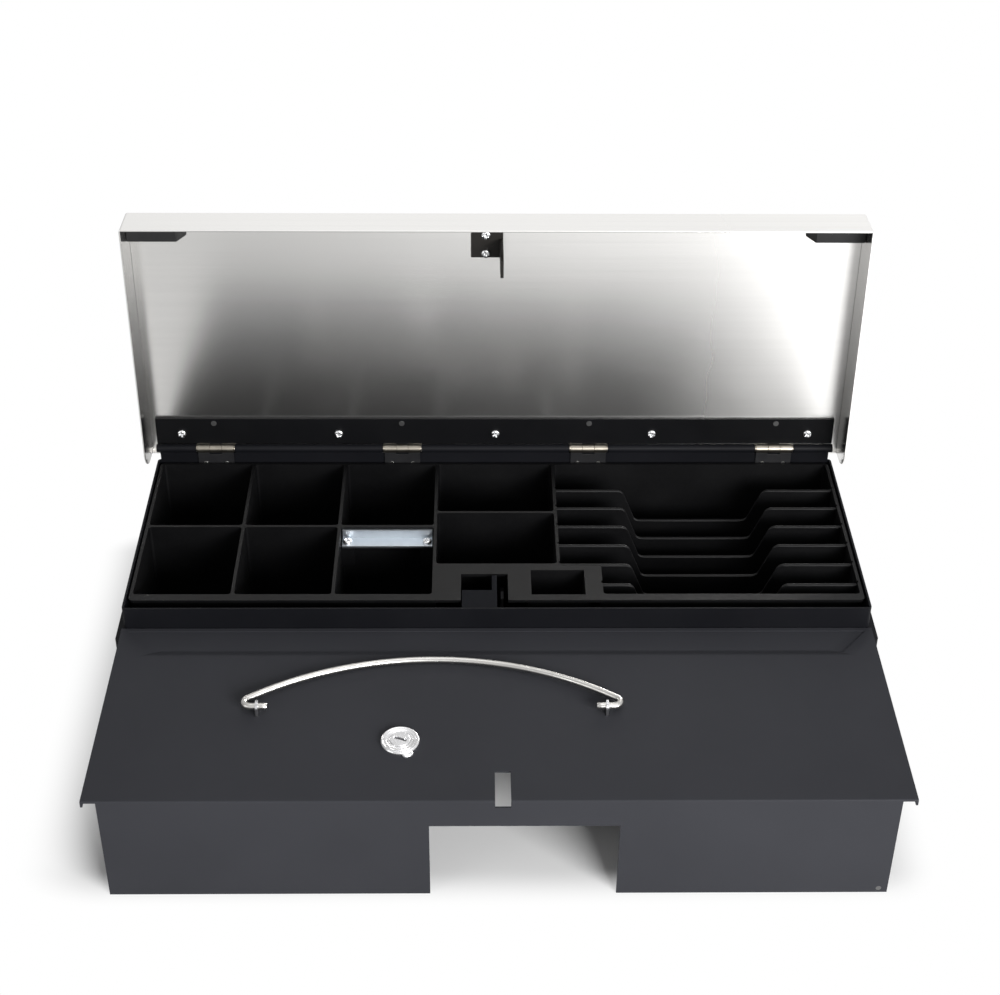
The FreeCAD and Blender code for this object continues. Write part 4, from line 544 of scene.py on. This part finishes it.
# Points within this many metres are joined, and so are faces within this angle of each other.
JOIN_WITHIN = 2e-6
LEVEL_WITHIN = math.radians(0.5)
# A node's edge is rounded if it turns by more than this.
ROUND_BEYOND = math.radians(38)
# An edge of a piece made here is shaded sharp if it turns by more than this.
SHARP_BEYOND = math.radians(50)


def soften(piece, edge_mm):
    """Joins a piece's faces, rounds its sharp edges a little and evens its shading."""
    join = piece.modifiers.new("join", "WELD")
    join.merge_threshold = JOIN_WITHIN
    clean = piece.modifiers.new("clean", "DECIMATE")
    clean.decimate_type = "DISSOLVE"
    clean.angle_limit = LEVEL_WITHIN
    if edge_mm:
        edge = piece.modifiers.new("edge", "BEVEL")
        edge.width = edge_mm * MM
        edge.segments = 2
        edge.limit_method = "ANGLE"
        edge.angle_limit = ROUND_BEYOND
        edge.use_clamp_overlap = True
    shade = piece.modifiers.new("shade", "NODES")
    shade.node_group = SMOOTH
    even = piece.modifiers.new("even", "WEIGHTED_NORMAL")
    even.weight = 60
    even.keep_sharp = False


# How far each node's sharp edges are rounded, in millimetres.
DIVIDER_EDGE = 0.5
OTHER_EDGE = 0.1
EDGES = {
    "housing_base": 0.35, "housing_top_frame": 0.4, "tray": 0.6, "lid_pan": 0.25, "lid_rail": 0.3,
    "lid_corner_left": 0.6, "lid_corner_right": 0.6, "lock_bracket": 0.2, "striker_bracket": 0.3,
    "mechanism_bracket": 0.3, "latch_hook": 0.2, "rubber_feet": 0.5, "cable_grommet": 0.6,
    "solenoid_frame": 0.25, "lock_cam": 0.2,
}
# Nodes that keep the frame's own faces, and those that a fuller piece stands for.
PLAIN = ("latch_spring", "cover_shell")
REPLACED = (
    "lid_rail_screws", "striker_screws", "lock_bracket_screws", "handle_wire", "cover_lock_body",
    "lock_plug",
)


def dress_nodes():
    """Gives every node of the frame its finish, and most of them softer edges."""
    slots = {each["node"]: each["material_slot"] for each in frame["record"]["subparts"]}
    for name, node in frame["nodes"].items():
        finish = FINISHES[OWN_FINISH.get(name, slots[name])]
        for place in node.material_slots:
            place.material = finish
        if name in PLAIN or name in REPLACED:
            continue
        usual = DIVIDER_EDGE if name.startswith("note_divider") else OTHER_EDGE
        soften(node, EDGES.get(name, usual))


# Pieces made here, each from its own points and faces.


def new_piece(name, points, faces, finish, rides_on, *stands_for):
    """A closed piece that rides on a body and stands for the nodes named last."""
    mesh = bpy.data.meshes.new(name)
    mesh.from_pydata([tuple(each) for each in points], [], faces)
    shape = bmesh.new()
    shape.from_mesh(mesh)
    bmesh.ops.recalc_face_normals(shape, faces=shape.faces[:])
    shape.to_mesh(mesh)
    shape.free()
    mesh.shade_smooth()
    mesh.set_sharp_from_angle(angle=SHARP_BEYOND)
    mesh.materials.append(FINISHES[finish])
    item = bpy.data.objects.new(name, mesh)
    bpy.context.scene.collection.objects.link(item)
    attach(item, rides_on)
    if stands_for:
        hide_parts(*stands_for)
    return item


def turned(profile, spokes, closed=False, sunk=None):
    """A solid turned about Z in millimetres; sunk says how deep its top is pressed in."""
    points = []
    rows = []
    for radius, height, on_top in profile:
        count = 1 if radius == 0 else spokes
        rows.append([len(points) + step for step in range(count)])
        for step in range(count):
            angle = 2 * math.pi * step / spokes
            x = radius * math.cos(angle)
            y = radius * math.sin(angle)
            press = sunk(x, y) if on_top and sunk else 0.0
            points.append(Vector((x, y, height - press)))
    faces = []
    following = rows[1:] + rows[:1] if closed else rows[1:]
    for upper, lower in zip(rows, following):
        for step in range(spokes):
            after = step + 1
            corners = [
                upper[step % len(upper)], upper[after % len(upper)],
                lower[after % len(lower)], lower[step % len(lower)],
            ]
            faces.append(list(dict.fromkeys(corners)))
    return points, faces


def moved(solid, place):
    """A solid in millimetres put in its place in the frame."""
    points, faces = solid
    return [place @ (each * MM) for each in points], faces


def together(solids):
    """Several solids as one list of points and faces."""
    points = []
    faces = []
    for more_points, more_faces in solids:
        first = len(points)
        points += more_points
        faces += [[first + corner for corner in face] for face in more_faces]
    return points, faces


def tube_faces(rings, sides):
    """The faces of a closed tube of so many rings, with its two ends."""
    faces = []
    for ring in range(rings - 1):
        here = ring * sides
        there = here + sides
        for side in range(sides):
            after = (side + 1) % sides
            faces.append([here + side, here + after, there + after, there + side])
    faces.append(list(range(sides)))
    faces.append([rings * sides - 1 - side for side in range(sides)])
    return faces


def fade(value, start, end):
    """From nought at the start to one at the end, smoothly."""
    share = min(max((value - start) / (end - start), 0.0), 1.0)
    return share * share * (3 - 2 * share)


# The pan head screws, in millimetres: head, shank and cross recess.
HEAD_RADIUS = 3.0
HEAD_TALL = 2.0
HEAD_SIDE = 0.6
HEAD_RINGS = 16
CROWN_POWER = 3.4
SCREW_SPOKES = 48
SHANK_RADIUS = 1.5
TIP_CHAMFER = 0.3
CROSS_HALF = 0.42
CROSS_LONG = 1.75
CROSS_DEEP = 1.2
CROSS_REACH = 2.2
CROSS_EDGE = (0.82, 1.22)
# Where they sit, in millimetres: the lid's as it lies shut, measured from the hinge axis.
RAIL_SCREW_STEP = 104.2
RAIL_SCREW_LINE = -11.0
RAIL_SEAT = 0.8
STRIKER_SCREW_X = -6.8
STRIKER_SCREW_LINES = (142.5, 155.0)
STRIKER_SEAT = 1.2
# The seat of the lock bracket's screws, in metres.
BRACKET_SEAT = 0.0785


def pan_head_screw(grip, turn):
    """A pan head screw with a cross recess, its head up and its seat at height nought."""

    def recess(x, y):
        u = abs(x * math.cos(turn) + y * math.sin(turn))
        v = abs(y * math.cos(turn) - x * math.sin(turn))
        first = max(u / CROSS_LONG, v / CROSS_HALF)
        second = max(v / CROSS_LONG, u / CROSS_HALF)
        narrowing = 1 - 0.35 * math.hypot(x, y) / CROSS_LONG
        return CROSS_DEEP * max(narrowing, 0.2) * (1 - fade(min(first, second), *CROSS_EDGE))

    profile = [(0, HEAD_TALL, True)]
    for step in range(1, HEAD_RINGS + 1):
        radius = HEAD_RADIUS * step / HEAD_RINGS
        crown = math.sqrt(max(0.0, 1 - (radius / HEAD_RADIUS) ** CROWN_POWER))
        height = HEAD_SIDE + (HEAD_TALL - HEAD_SIDE) * crown
        profile.append((radius, height, radius < CROSS_REACH))
    profile += [
        (HEAD_RADIUS, 0.0, False), (SHANK_RADIUS, 0.0, False),
        (SHANK_RADIUS, TIP_CHAMFER - grip, False), (SHANK_RADIUS - TIP_CHAMFER, -grip, False),
        (0, -grip, False),
    ]
    return turned(profile, SCREW_SPOKES, sunk=recess)


def make_screws():
    """The screws of the rail, the striker and the lock bracket, each turned its own way."""
    over = Matrix.Rotation(math.pi, 4, "X")
    rail = []
    for step in (-2, -1, 0, 1, 2):
        spot = Vector((step * RAIL_SCREW_STEP, RAIL_SCREW_LINE, RAIL_SEAT)) * MM
        place = LID @ Matrix.Translation(spot) @ over
        rail.append(moved(pan_head_screw(2.2, 0.4 + 0.9 * step), place))
    new_piece("rail_pan_head_screws", *together(rail), "bright_steel", "lid", "lid_rail_screws")
    striker = []
    for step, line in enumerate(STRIKER_SCREW_LINES):
        spot = Vector((STRIKER_SCREW_X, -line, STRIKER_SEAT)) * MM
        place = LID @ Matrix.Translation(spot) @ over
        striker.append(moved(pan_head_screw(2.0, 0.3 + 1.1 * step), place))
    heads = together(striker)
    new_piece("striker_pan_head_screws", *heads, "bright_steel", "lid", "striker_screws")
    low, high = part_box("lock_bracket_screws")
    middle = (low.y + high.y) / 2
    catch = []
    for step, x in enumerate((low.x + HEAD_RADIUS * MM, high.x - HEAD_RADIUS * MM)):
        place = Matrix.Translation(Vector((x, middle, BRACKET_SEAT)))
        catch.append(moved(pan_head_screw(8.3, 0.5 + 0.7 * step), place))
    heads = together(catch)
    new_piece(
        "lock_bracket_pan_head_screws", *heads, "bright_steel", "tray", "lock_bracket_screws"
    )


# The beads on the note dividers, in millimetres: their size, and the dividers' dipped top line.
BEAD_HALF = 1.35
BEAD_DROP = 1.7
BEAD_FADE = 0.6
BEAD_LIFT = 0.15
BEAD_INSET = 0.8
BEAD_SIDES = 12
DIVIDER_TOP = 84.0
DIP_LOW = 60.0
DIP_ENDS = (93.0, 166.5)
DIP_SLOPE = 9.6
DIP_ROUND = 5.0
ROUND_STEPS = 8


def rounded_line(corners, radius):
    """A line through the corners, with each inner corner turned on a radius."""
    line = [Vector(corners[0])]
    for before, corner, after in zip(corners, corners[1:], corners[2:]):
        corner = Vector(corner)
        back = (Vector(before) - corner).normalized()
        ahead = (Vector(after) - corner).normalized()
        half = back.angle(ahead) / 2
        run = radius / math.tan(half)
        centre = corner + (back + ahead).normalized() * (radius / math.sin(half))
        start = corner + back * run - centre
        end = corner + ahead * run - centre
        for step in range(ROUND_STEPS + 1):
            line.append(centre + (start.lerp(end, step / ROUND_STEPS)).normalized() * radius)
    line.append(Vector(corners[-1]))
    return line


def make_divider_beads():
    """The soft rounded bead along the top of each note divider."""
    for turn in range(1, 7):
        low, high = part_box(f"note_divider_{turn}")
        left = low.x / MM + BEAD_INSET
        right = high.x / MM - BEAD_INSET
        middle = (low.y + high.y) / 2 / MM
        first, last = DIP_ENDS
        corners = [
            (left, DIVIDER_TOP), (first - DIP_SLOPE, DIVIDER_TOP), (first, DIP_LOW),
            (last, DIP_LOW), (last + DIP_SLOPE, DIVIDER_TOP), (right, DIVIDER_TOP),
        ]
        line = rounded_line(corners, DIP_ROUND)
        points = []
        for step, spot in enumerate(line):
            before = line[max(step - 1, 0)]
            after = line[min(step + 1, len(line) - 1)]
            along = (after - before).normalized()
            out = Vector((-along.y, along.x))
            steep = abs(along.y)
            for side in range(BEAD_SIDES):
                angle = 2 * math.pi * side / BEAD_SIDES
                rise = BEAD_DROP * (math.sin(angle) - 1) / 2 + BEAD_LIFT * (1 - steep)
                aside = (BEAD_HALF - BEAD_FADE * steep) * math.cos(angle)
                x = spot.x + out.x * rise
                z = spot.y + out.y * rise
                points.append(Vector((x, middle + aside, z)))
        bead = moved((points, tube_faces(len(line), BEAD_SIDES)), Matrix())
        new_piece(f"divider_bead_{turn}", *bead, "black_plastic", "tray")


BAIL_PIVOT = Vector(JOINTS["handle_swing"]["pos_m"])
# The bail, in millimetres: its wire, half its span, its end bends, its rise and its stubs.
BAIL_WIRE = 2.0
BAIL_HALF = 103.8
BAIL_BEND = 4.0
BAIL_RISE = 35.0
BAIL_STUB = 9.7
BAIL_TILT = math.radians(2.9)
BAIL_CHAMFER = 0.35
BAIL_SIDES = 24
STUB_RINGS = 3
BEND_STEPS = 12
BOW_STEPS = 48


def bail_path():
    """Points along the bail's wire with the way it faces, from one stub's end to the other's."""
    reach = (BAIL_HALF ** 2 + BAIL_RISE ** 2) / (2 * BAIL_RISE)
    angle = math.asin(BAIL_HALF / reach)
    bow_y = BAIL_BEND + BAIL_RISE - reach

    def about(x, y, radius, turn):
        return Vector((x + radius * math.sin(turn), y + radius * math.cos(turn), 0)), turn

    inside = BAIL_STUB - BAIL_HALF
    path = [(Vector((inside - step * 3.0, 0, 0)), -math.pi) for step in range(STUB_RINGS)]
    for step in range(BEND_STEPS + 1):
        turn = -math.pi + (math.pi - angle) * step / BEND_STEPS
        path.append(about(-BAIL_HALF, BAIL_BEND, BAIL_BEND, turn))
    left_end = path[:]
    for step in range(1, BOW_STEPS):
        path.append(about(0, bow_y, reach + BAIL_BEND, angle * (2 * step / BOW_STEPS - 1)))
    right_end = [(Vector((-spot.x, spot.y, 0)), -turn) for spot, turn in reversed(left_end)]
    return path + right_end


def make_bail():
    """The bail as one smooth wire with small chamfers at its ends."""
    rings = [(spot, turn, BAIL_WIRE) for spot, turn in bail_path()]
    first, last = rings[0], rings[-1]
    ends = Vector((BAIL_CHAMFER, 0, 0))
    rings[0] = (first[0] - ends, first[1], BAIL_WIRE)
    rings[-1] = (last[0] + ends, last[1], BAIL_WIRE)
    thinner = BAIL_WIRE - BAIL_CHAMFER
    rings = [(first[0], first[1], thinner)] + rings + [(last[0], last[1], thinner)]
    points = []
    for spot, turn, radius in rings:
        out = Vector((math.sin(turn), math.cos(turn), 0))
        for side in range(BAIL_SIDES):
            angle = 2 * math.pi * side / BAIL_SIDES
            rise = Vector((0, 0, radius * math.sin(angle)))
            points.append(spot + out * (radius * math.cos(angle)) + rise)
    place = Matrix.Translation(BAIL_PIVOT) @ Matrix.Rotation(-BAIL_TILT, 4, "X")
    wire = moved((points, tube_faces(len(rings), BAIL_SIDES)), place)
    new_piece("bail_wire", *wire, "plain_steel", "handle", "handle_wire")


LOCK_SPOT = Vector(JOINTS["lock_turn"]["pos_m"])
# The lock, in millimetres: its barrel's low end, its plug, and the key slot with its ward.
LOCK_LOW = -11.4
LOCK_SPOKES = 96
LUG_TURN = math.radians(-67)
PLUG_TALL = 2.6
PLUG_FLAT = 5.6
PLUG_RINGS = 36
SLOT_TURN = math.radians(-22)
SLOT_LONG = 3.3
SLOT_HALF = 0.72
SLOT_DEEP = 3.2
WARD_PLACE = (2.9, 0.9)
WARD_HALF = (0.55, 1.2)
WARD_DEEP = 0.7


def make_lock():
    """The lock's ring and barrel with grooves and a lug, and its plug with a tilted key slot."""
    outer = [
        (6.05, 2.15), (6.3, 2.3), (6.9, 2.3), (7.1, 2.05), (7.5, 2.05), (7.7, 2.2), (8.9, 2.2),
        (9.1, 1.9), (9.6, 1.9), (9.8, 2.1), (10.3, 2.1), (10.8, 1.7), (11.2, 1.0), (11.2, 0.0),
        (9.0, 0.0), (9.0, LOCK_LOW), (6.05, LOCK_LOW),
    ]
    rows = [(radius, height, False) for radius, height in outer]
    ring = turned(rows, LOCK_SPOKES, closed=True)
    half_lug = ((10.4, 3.2), (12.6, 3.0), (13.5, 2.0))
    lug_outline = half_lug + tuple((reach, -aside) for reach, aside in reversed(half_lug))
    corners = []
    for height, inset in ((0.0, 0.0), (1.0, 0.0), (1.35, 0.4)):
        for reach, aside in lug_outline:
            spot = Vector((reach - inset, aside - math.copysign(inset, aside), height))
            corners.append(Matrix.Rotation(LUG_TURN, 4, "Z") @ spot)
    lug_faces = [[0, 1, 2, 3, 4, 5], [12, 13, 14, 15, 16, 17]]
    for level in (0, 6):
        for step in range(6):
            after = (step + 1) % 6
            lug_faces.append([level + step, level + after, level + 6 + after, level + 6 + step])
    place = Matrix.Translation(LOCK_SPOT)
    body = together([moved(ring, place), moved((corners, lug_faces), place)])
    new_piece("lock_ring_and_barrel", *body, "chrome", "cover", "cover_lock_body")

    def key_slot(x, y):
        u = x * math.cos(SLOT_TURN) + y * math.sin(SLOT_TURN)
        v = y * math.cos(SLOT_TURN) - x * math.sin(SLOT_TURN)
        main = max(abs(u) / SLOT_LONG, abs(v) / SLOT_HALF)
        ward = max(abs(u - WARD_PLACE[0]) / WARD_HALF[0], abs(v - WARD_PLACE[1]) / WARD_HALF[1])
        slot_depth = SLOT_DEEP * (1 - fade(main, 0.85, 1.2))
        return max(slot_depth, WARD_DEEP * (1 - fade(ward, 0.7, 1.2)))

    profile = [(0, PLUG_TALL, True)]
    for step in range(1, PLUG_RINGS + 1):
        profile.append((PLUG_FLAT * step / PLUG_RINGS, PLUG_TALL, True))
    plug_low = LOCK_LOW - 0.3
    profile += [(6.0, 2.2, False), (6.0, plug_low, False), (0, plug_low, False)]
    plug = moved(turned(profile, LOCK_SPOKES, sunk=key_slot), place)
    new_piece("lock_plug_with_slot", *plug, "chrome", "lock", "lock_plug")


# The studio: a floor and a world that the camera sees as white, and plain lamps. In reflections
# both are dimmer towards the left.

# The drawer's shade is kept inside this outline on the floor, and fades out over a short way.
SHADE_HALF = 0.222
SHADE_FRONT = -0.140
SHADE_BACK = 0.156
SHADE_FADE = 0.03
# The shade reaches further to the left, away from the main lamp.
LEFT_REACH = 0.55


def floor_place(tree):
    """The X, Y and Z of a point on the floor."""
    return parts_of(tree, tree.nodes.new("ShaderNodeNewGeometry").outputs["Position"])


def footprint_share(tree):
    """Nought on the floor under and close by the drawer, and one away from it."""
    spot = floor_place(tree)
    beyond_left = math_node(tree, "SUBTRACT", -SHADE_HALF, spot["X"])
    left = math_node(tree, "MULTIPLY", beyond_left, LEFT_REACH)
    right = math_node(tree, "SUBTRACT", spot["X"], SHADE_HALF)
    before = math_node(tree, "SUBTRACT", SHADE_FRONT, spot["Y"])
    behind = math_node(tree, "SUBTRACT", spot["Y"], SHADE_BACK)
    pairs = ((left, right), (before, behind))
    away = [math_node(tree, "MAXIMUM", math_node(tree, "MAXIMUM", *pair), 0.0) for pair in pairs]
    squares = [math_node(tree, "MULTIPLY", each, each) for each in away]
    distance = math_node(tree, "SQRT", math_node(tree, "ADD", *squares))
    return soft_step(tree, distance, 0.0, SHADE_FADE)


def seen_rays(tree):
    """One for camera, glossy and transmission rays."""
    path = tree.nodes.new("ShaderNodeLightPath")
    seen = math_node(tree, "MAXIMUM", path.outputs["Is Camera Ray"], path.outputs["Is Glossy Ray"])
    return math_node(tree, "MAXIMUM", seen, path.outputs["Is Transmission Ray"])


WORLD_LIGHT = 0.30
# How bright the world is in reflections, on the left and on the right.
WORLD_LEFT = 0.45
WORLD_RIGHT = 0.92


def make_world():
    """Even light on the drawer; the camera sees it as white, and reflections as dimmer."""
    world = bpy.data.worlds.new("studio")
    bpy.context.scene.world = world
    world.use_nodes = True
    tree = world.node_tree
    plain = tree.nodes["Background"]
    plain.inputs["Color"].default_value = (1, 1, 1, 1)
    plain.inputs["Strength"].default_value = WORLD_LIGHT
    white = tree.nodes.new("ShaderNodeBackground")
    white.inputs["Color"].default_value = (1, 1, 1, 1)
    towards = parts_of(tree, tree.nodes.new("ShaderNodeTexCoord").outputs["Generated"])
    studio = ramp(tree, towards["X"], WORLD_LEFT, WORLD_RIGHT, start=-0.9, end=-0.1)
    camera = tree.nodes.new("ShaderNodeLightPath").outputs["Is Camera Ray"]
    tree.links.new(math_node(tree, "MAXIMUM", camera, studio), white.inputs["Strength"])
    mix = tree.nodes.new("ShaderNodeMixShader")
    tree.links.new(seen_rays(tree), mix.inputs[0])
    tree.links.new(plain.outputs[0], mix.inputs[1])
    tree.links.new(white.outputs[0], mix.inputs[2])
    tree.links.new(mix.outputs[0], tree.nodes["World Output"].inputs["Surface"])


FLOOR_HALF = 6.0
FLOOR_PALE = 0.76
# In reflections the floor loses this much of its brightness from one X to the other.
FLOOR_DIMMER = 0.38
DIMMER_LEFT = -0.30
DIMMER_RIGHT = 0.26


def make_floor():
    """Pale paper that keeps the drawer's shade and is seen as white away from it."""
    mesh = bpy.data.meshes.new("floor")
    signs = ((-1, -1), (1, -1), (1, 1), (-1, 1))
    corners = [(FLOOR_HALF * across, FLOOR_HALF * along, 0) for across, along in signs]
    mesh.from_pydata(corners, [], [(0, 1, 2, 3)])
    floor = bpy.data.objects.new("floor", mesh)
    bpy.context.scene.collection.objects.link(floor)
    material = bpy.data.materials.new("floor_paper")
    material.use_nodes = True
    tree = material.node_tree
    shader = tree.nodes["Principled BSDF"]
    shader.inputs["Base Color"].default_value = (FLOOR_PALE, FLOOR_PALE, FLOOR_PALE, 1)
    shader.inputs["Roughness"].default_value = 0.9
    shader.inputs["Specular IOR Level"].default_value = 0.0
    bright = tree.nodes.new("ShaderNodeEmission")
    glossy = tree.nodes.new("ShaderNodeLightPath").outputs["Is Glossy Ray"]
    across = floor_place(tree)["X"]
    leftward = soft_step(tree, across, DIMMER_LEFT, DIMMER_RIGHT, FLOOR_DIMMER, 0.0)
    dimmed = math_node(tree, "MULTIPLY", leftward, glossy)
    tree.links.new(math_node(tree, "SUBTRACT", 1.0, dimmed), bright.inputs["Strength"])
    share = math_node(tree, "MULTIPLY", seen_rays(tree), footprint_share(tree))
    mix = tree.nodes.new("ShaderNodeMixShader")
    tree.links.new(share, mix.inputs[0])
    tree.links.new(shader.outputs[0], mix.inputs[1])
    tree.links.new(bright.outputs[0], mix.inputs[2])
    tree.links.new(mix.outputs[0], tree.nodes["Material Output"].inputs["Surface"])
    mesh.materials.append(material)


# Each lamp's name, place, aim, width, height and power.
LAMPS = (
    ("front_right_softbox", (1.02, -1.62, 0.78), (0.05, 0, 0.08), 1.25, 0.7, 66.0),
    ("overhead_softbox", (0.25, 0.2, 1.9), (0, 0, 0), 1.6, 1.0, 6.0),
    ("left_fill", (-1.5, -1.1, 0.8), (0, 0, 0.08), 0.9, 0.8, 5.0),
)


def make_lamps():
    """Three plain rectangular lamps, each turned to its aim."""
    for name, spot, aim, wide, tall, power in LAMPS:
        data = bpy.data.lights.new(name, "AREA")
        data.shape = "RECTANGLE"
        data.size = wide
        data.size_y = tall
        data.energy = power
        lamp = bpy.data.objects.new(name, data)
        bpy.context.scene.collection.objects.link(lamp)
        lamp.location = spot
        lamp.rotation_euler = (Vector(aim) - Vector(spot)).to_track_quat("-Z", "Y").to_euler()


bpy.context.scene.view_settings.view_transform = "Standard"
place_camera()
dress_nodes()
make_screws()
make_divider_beads()
make_bail()
make_lock()
make_world()
make_floor()
make_lamps()
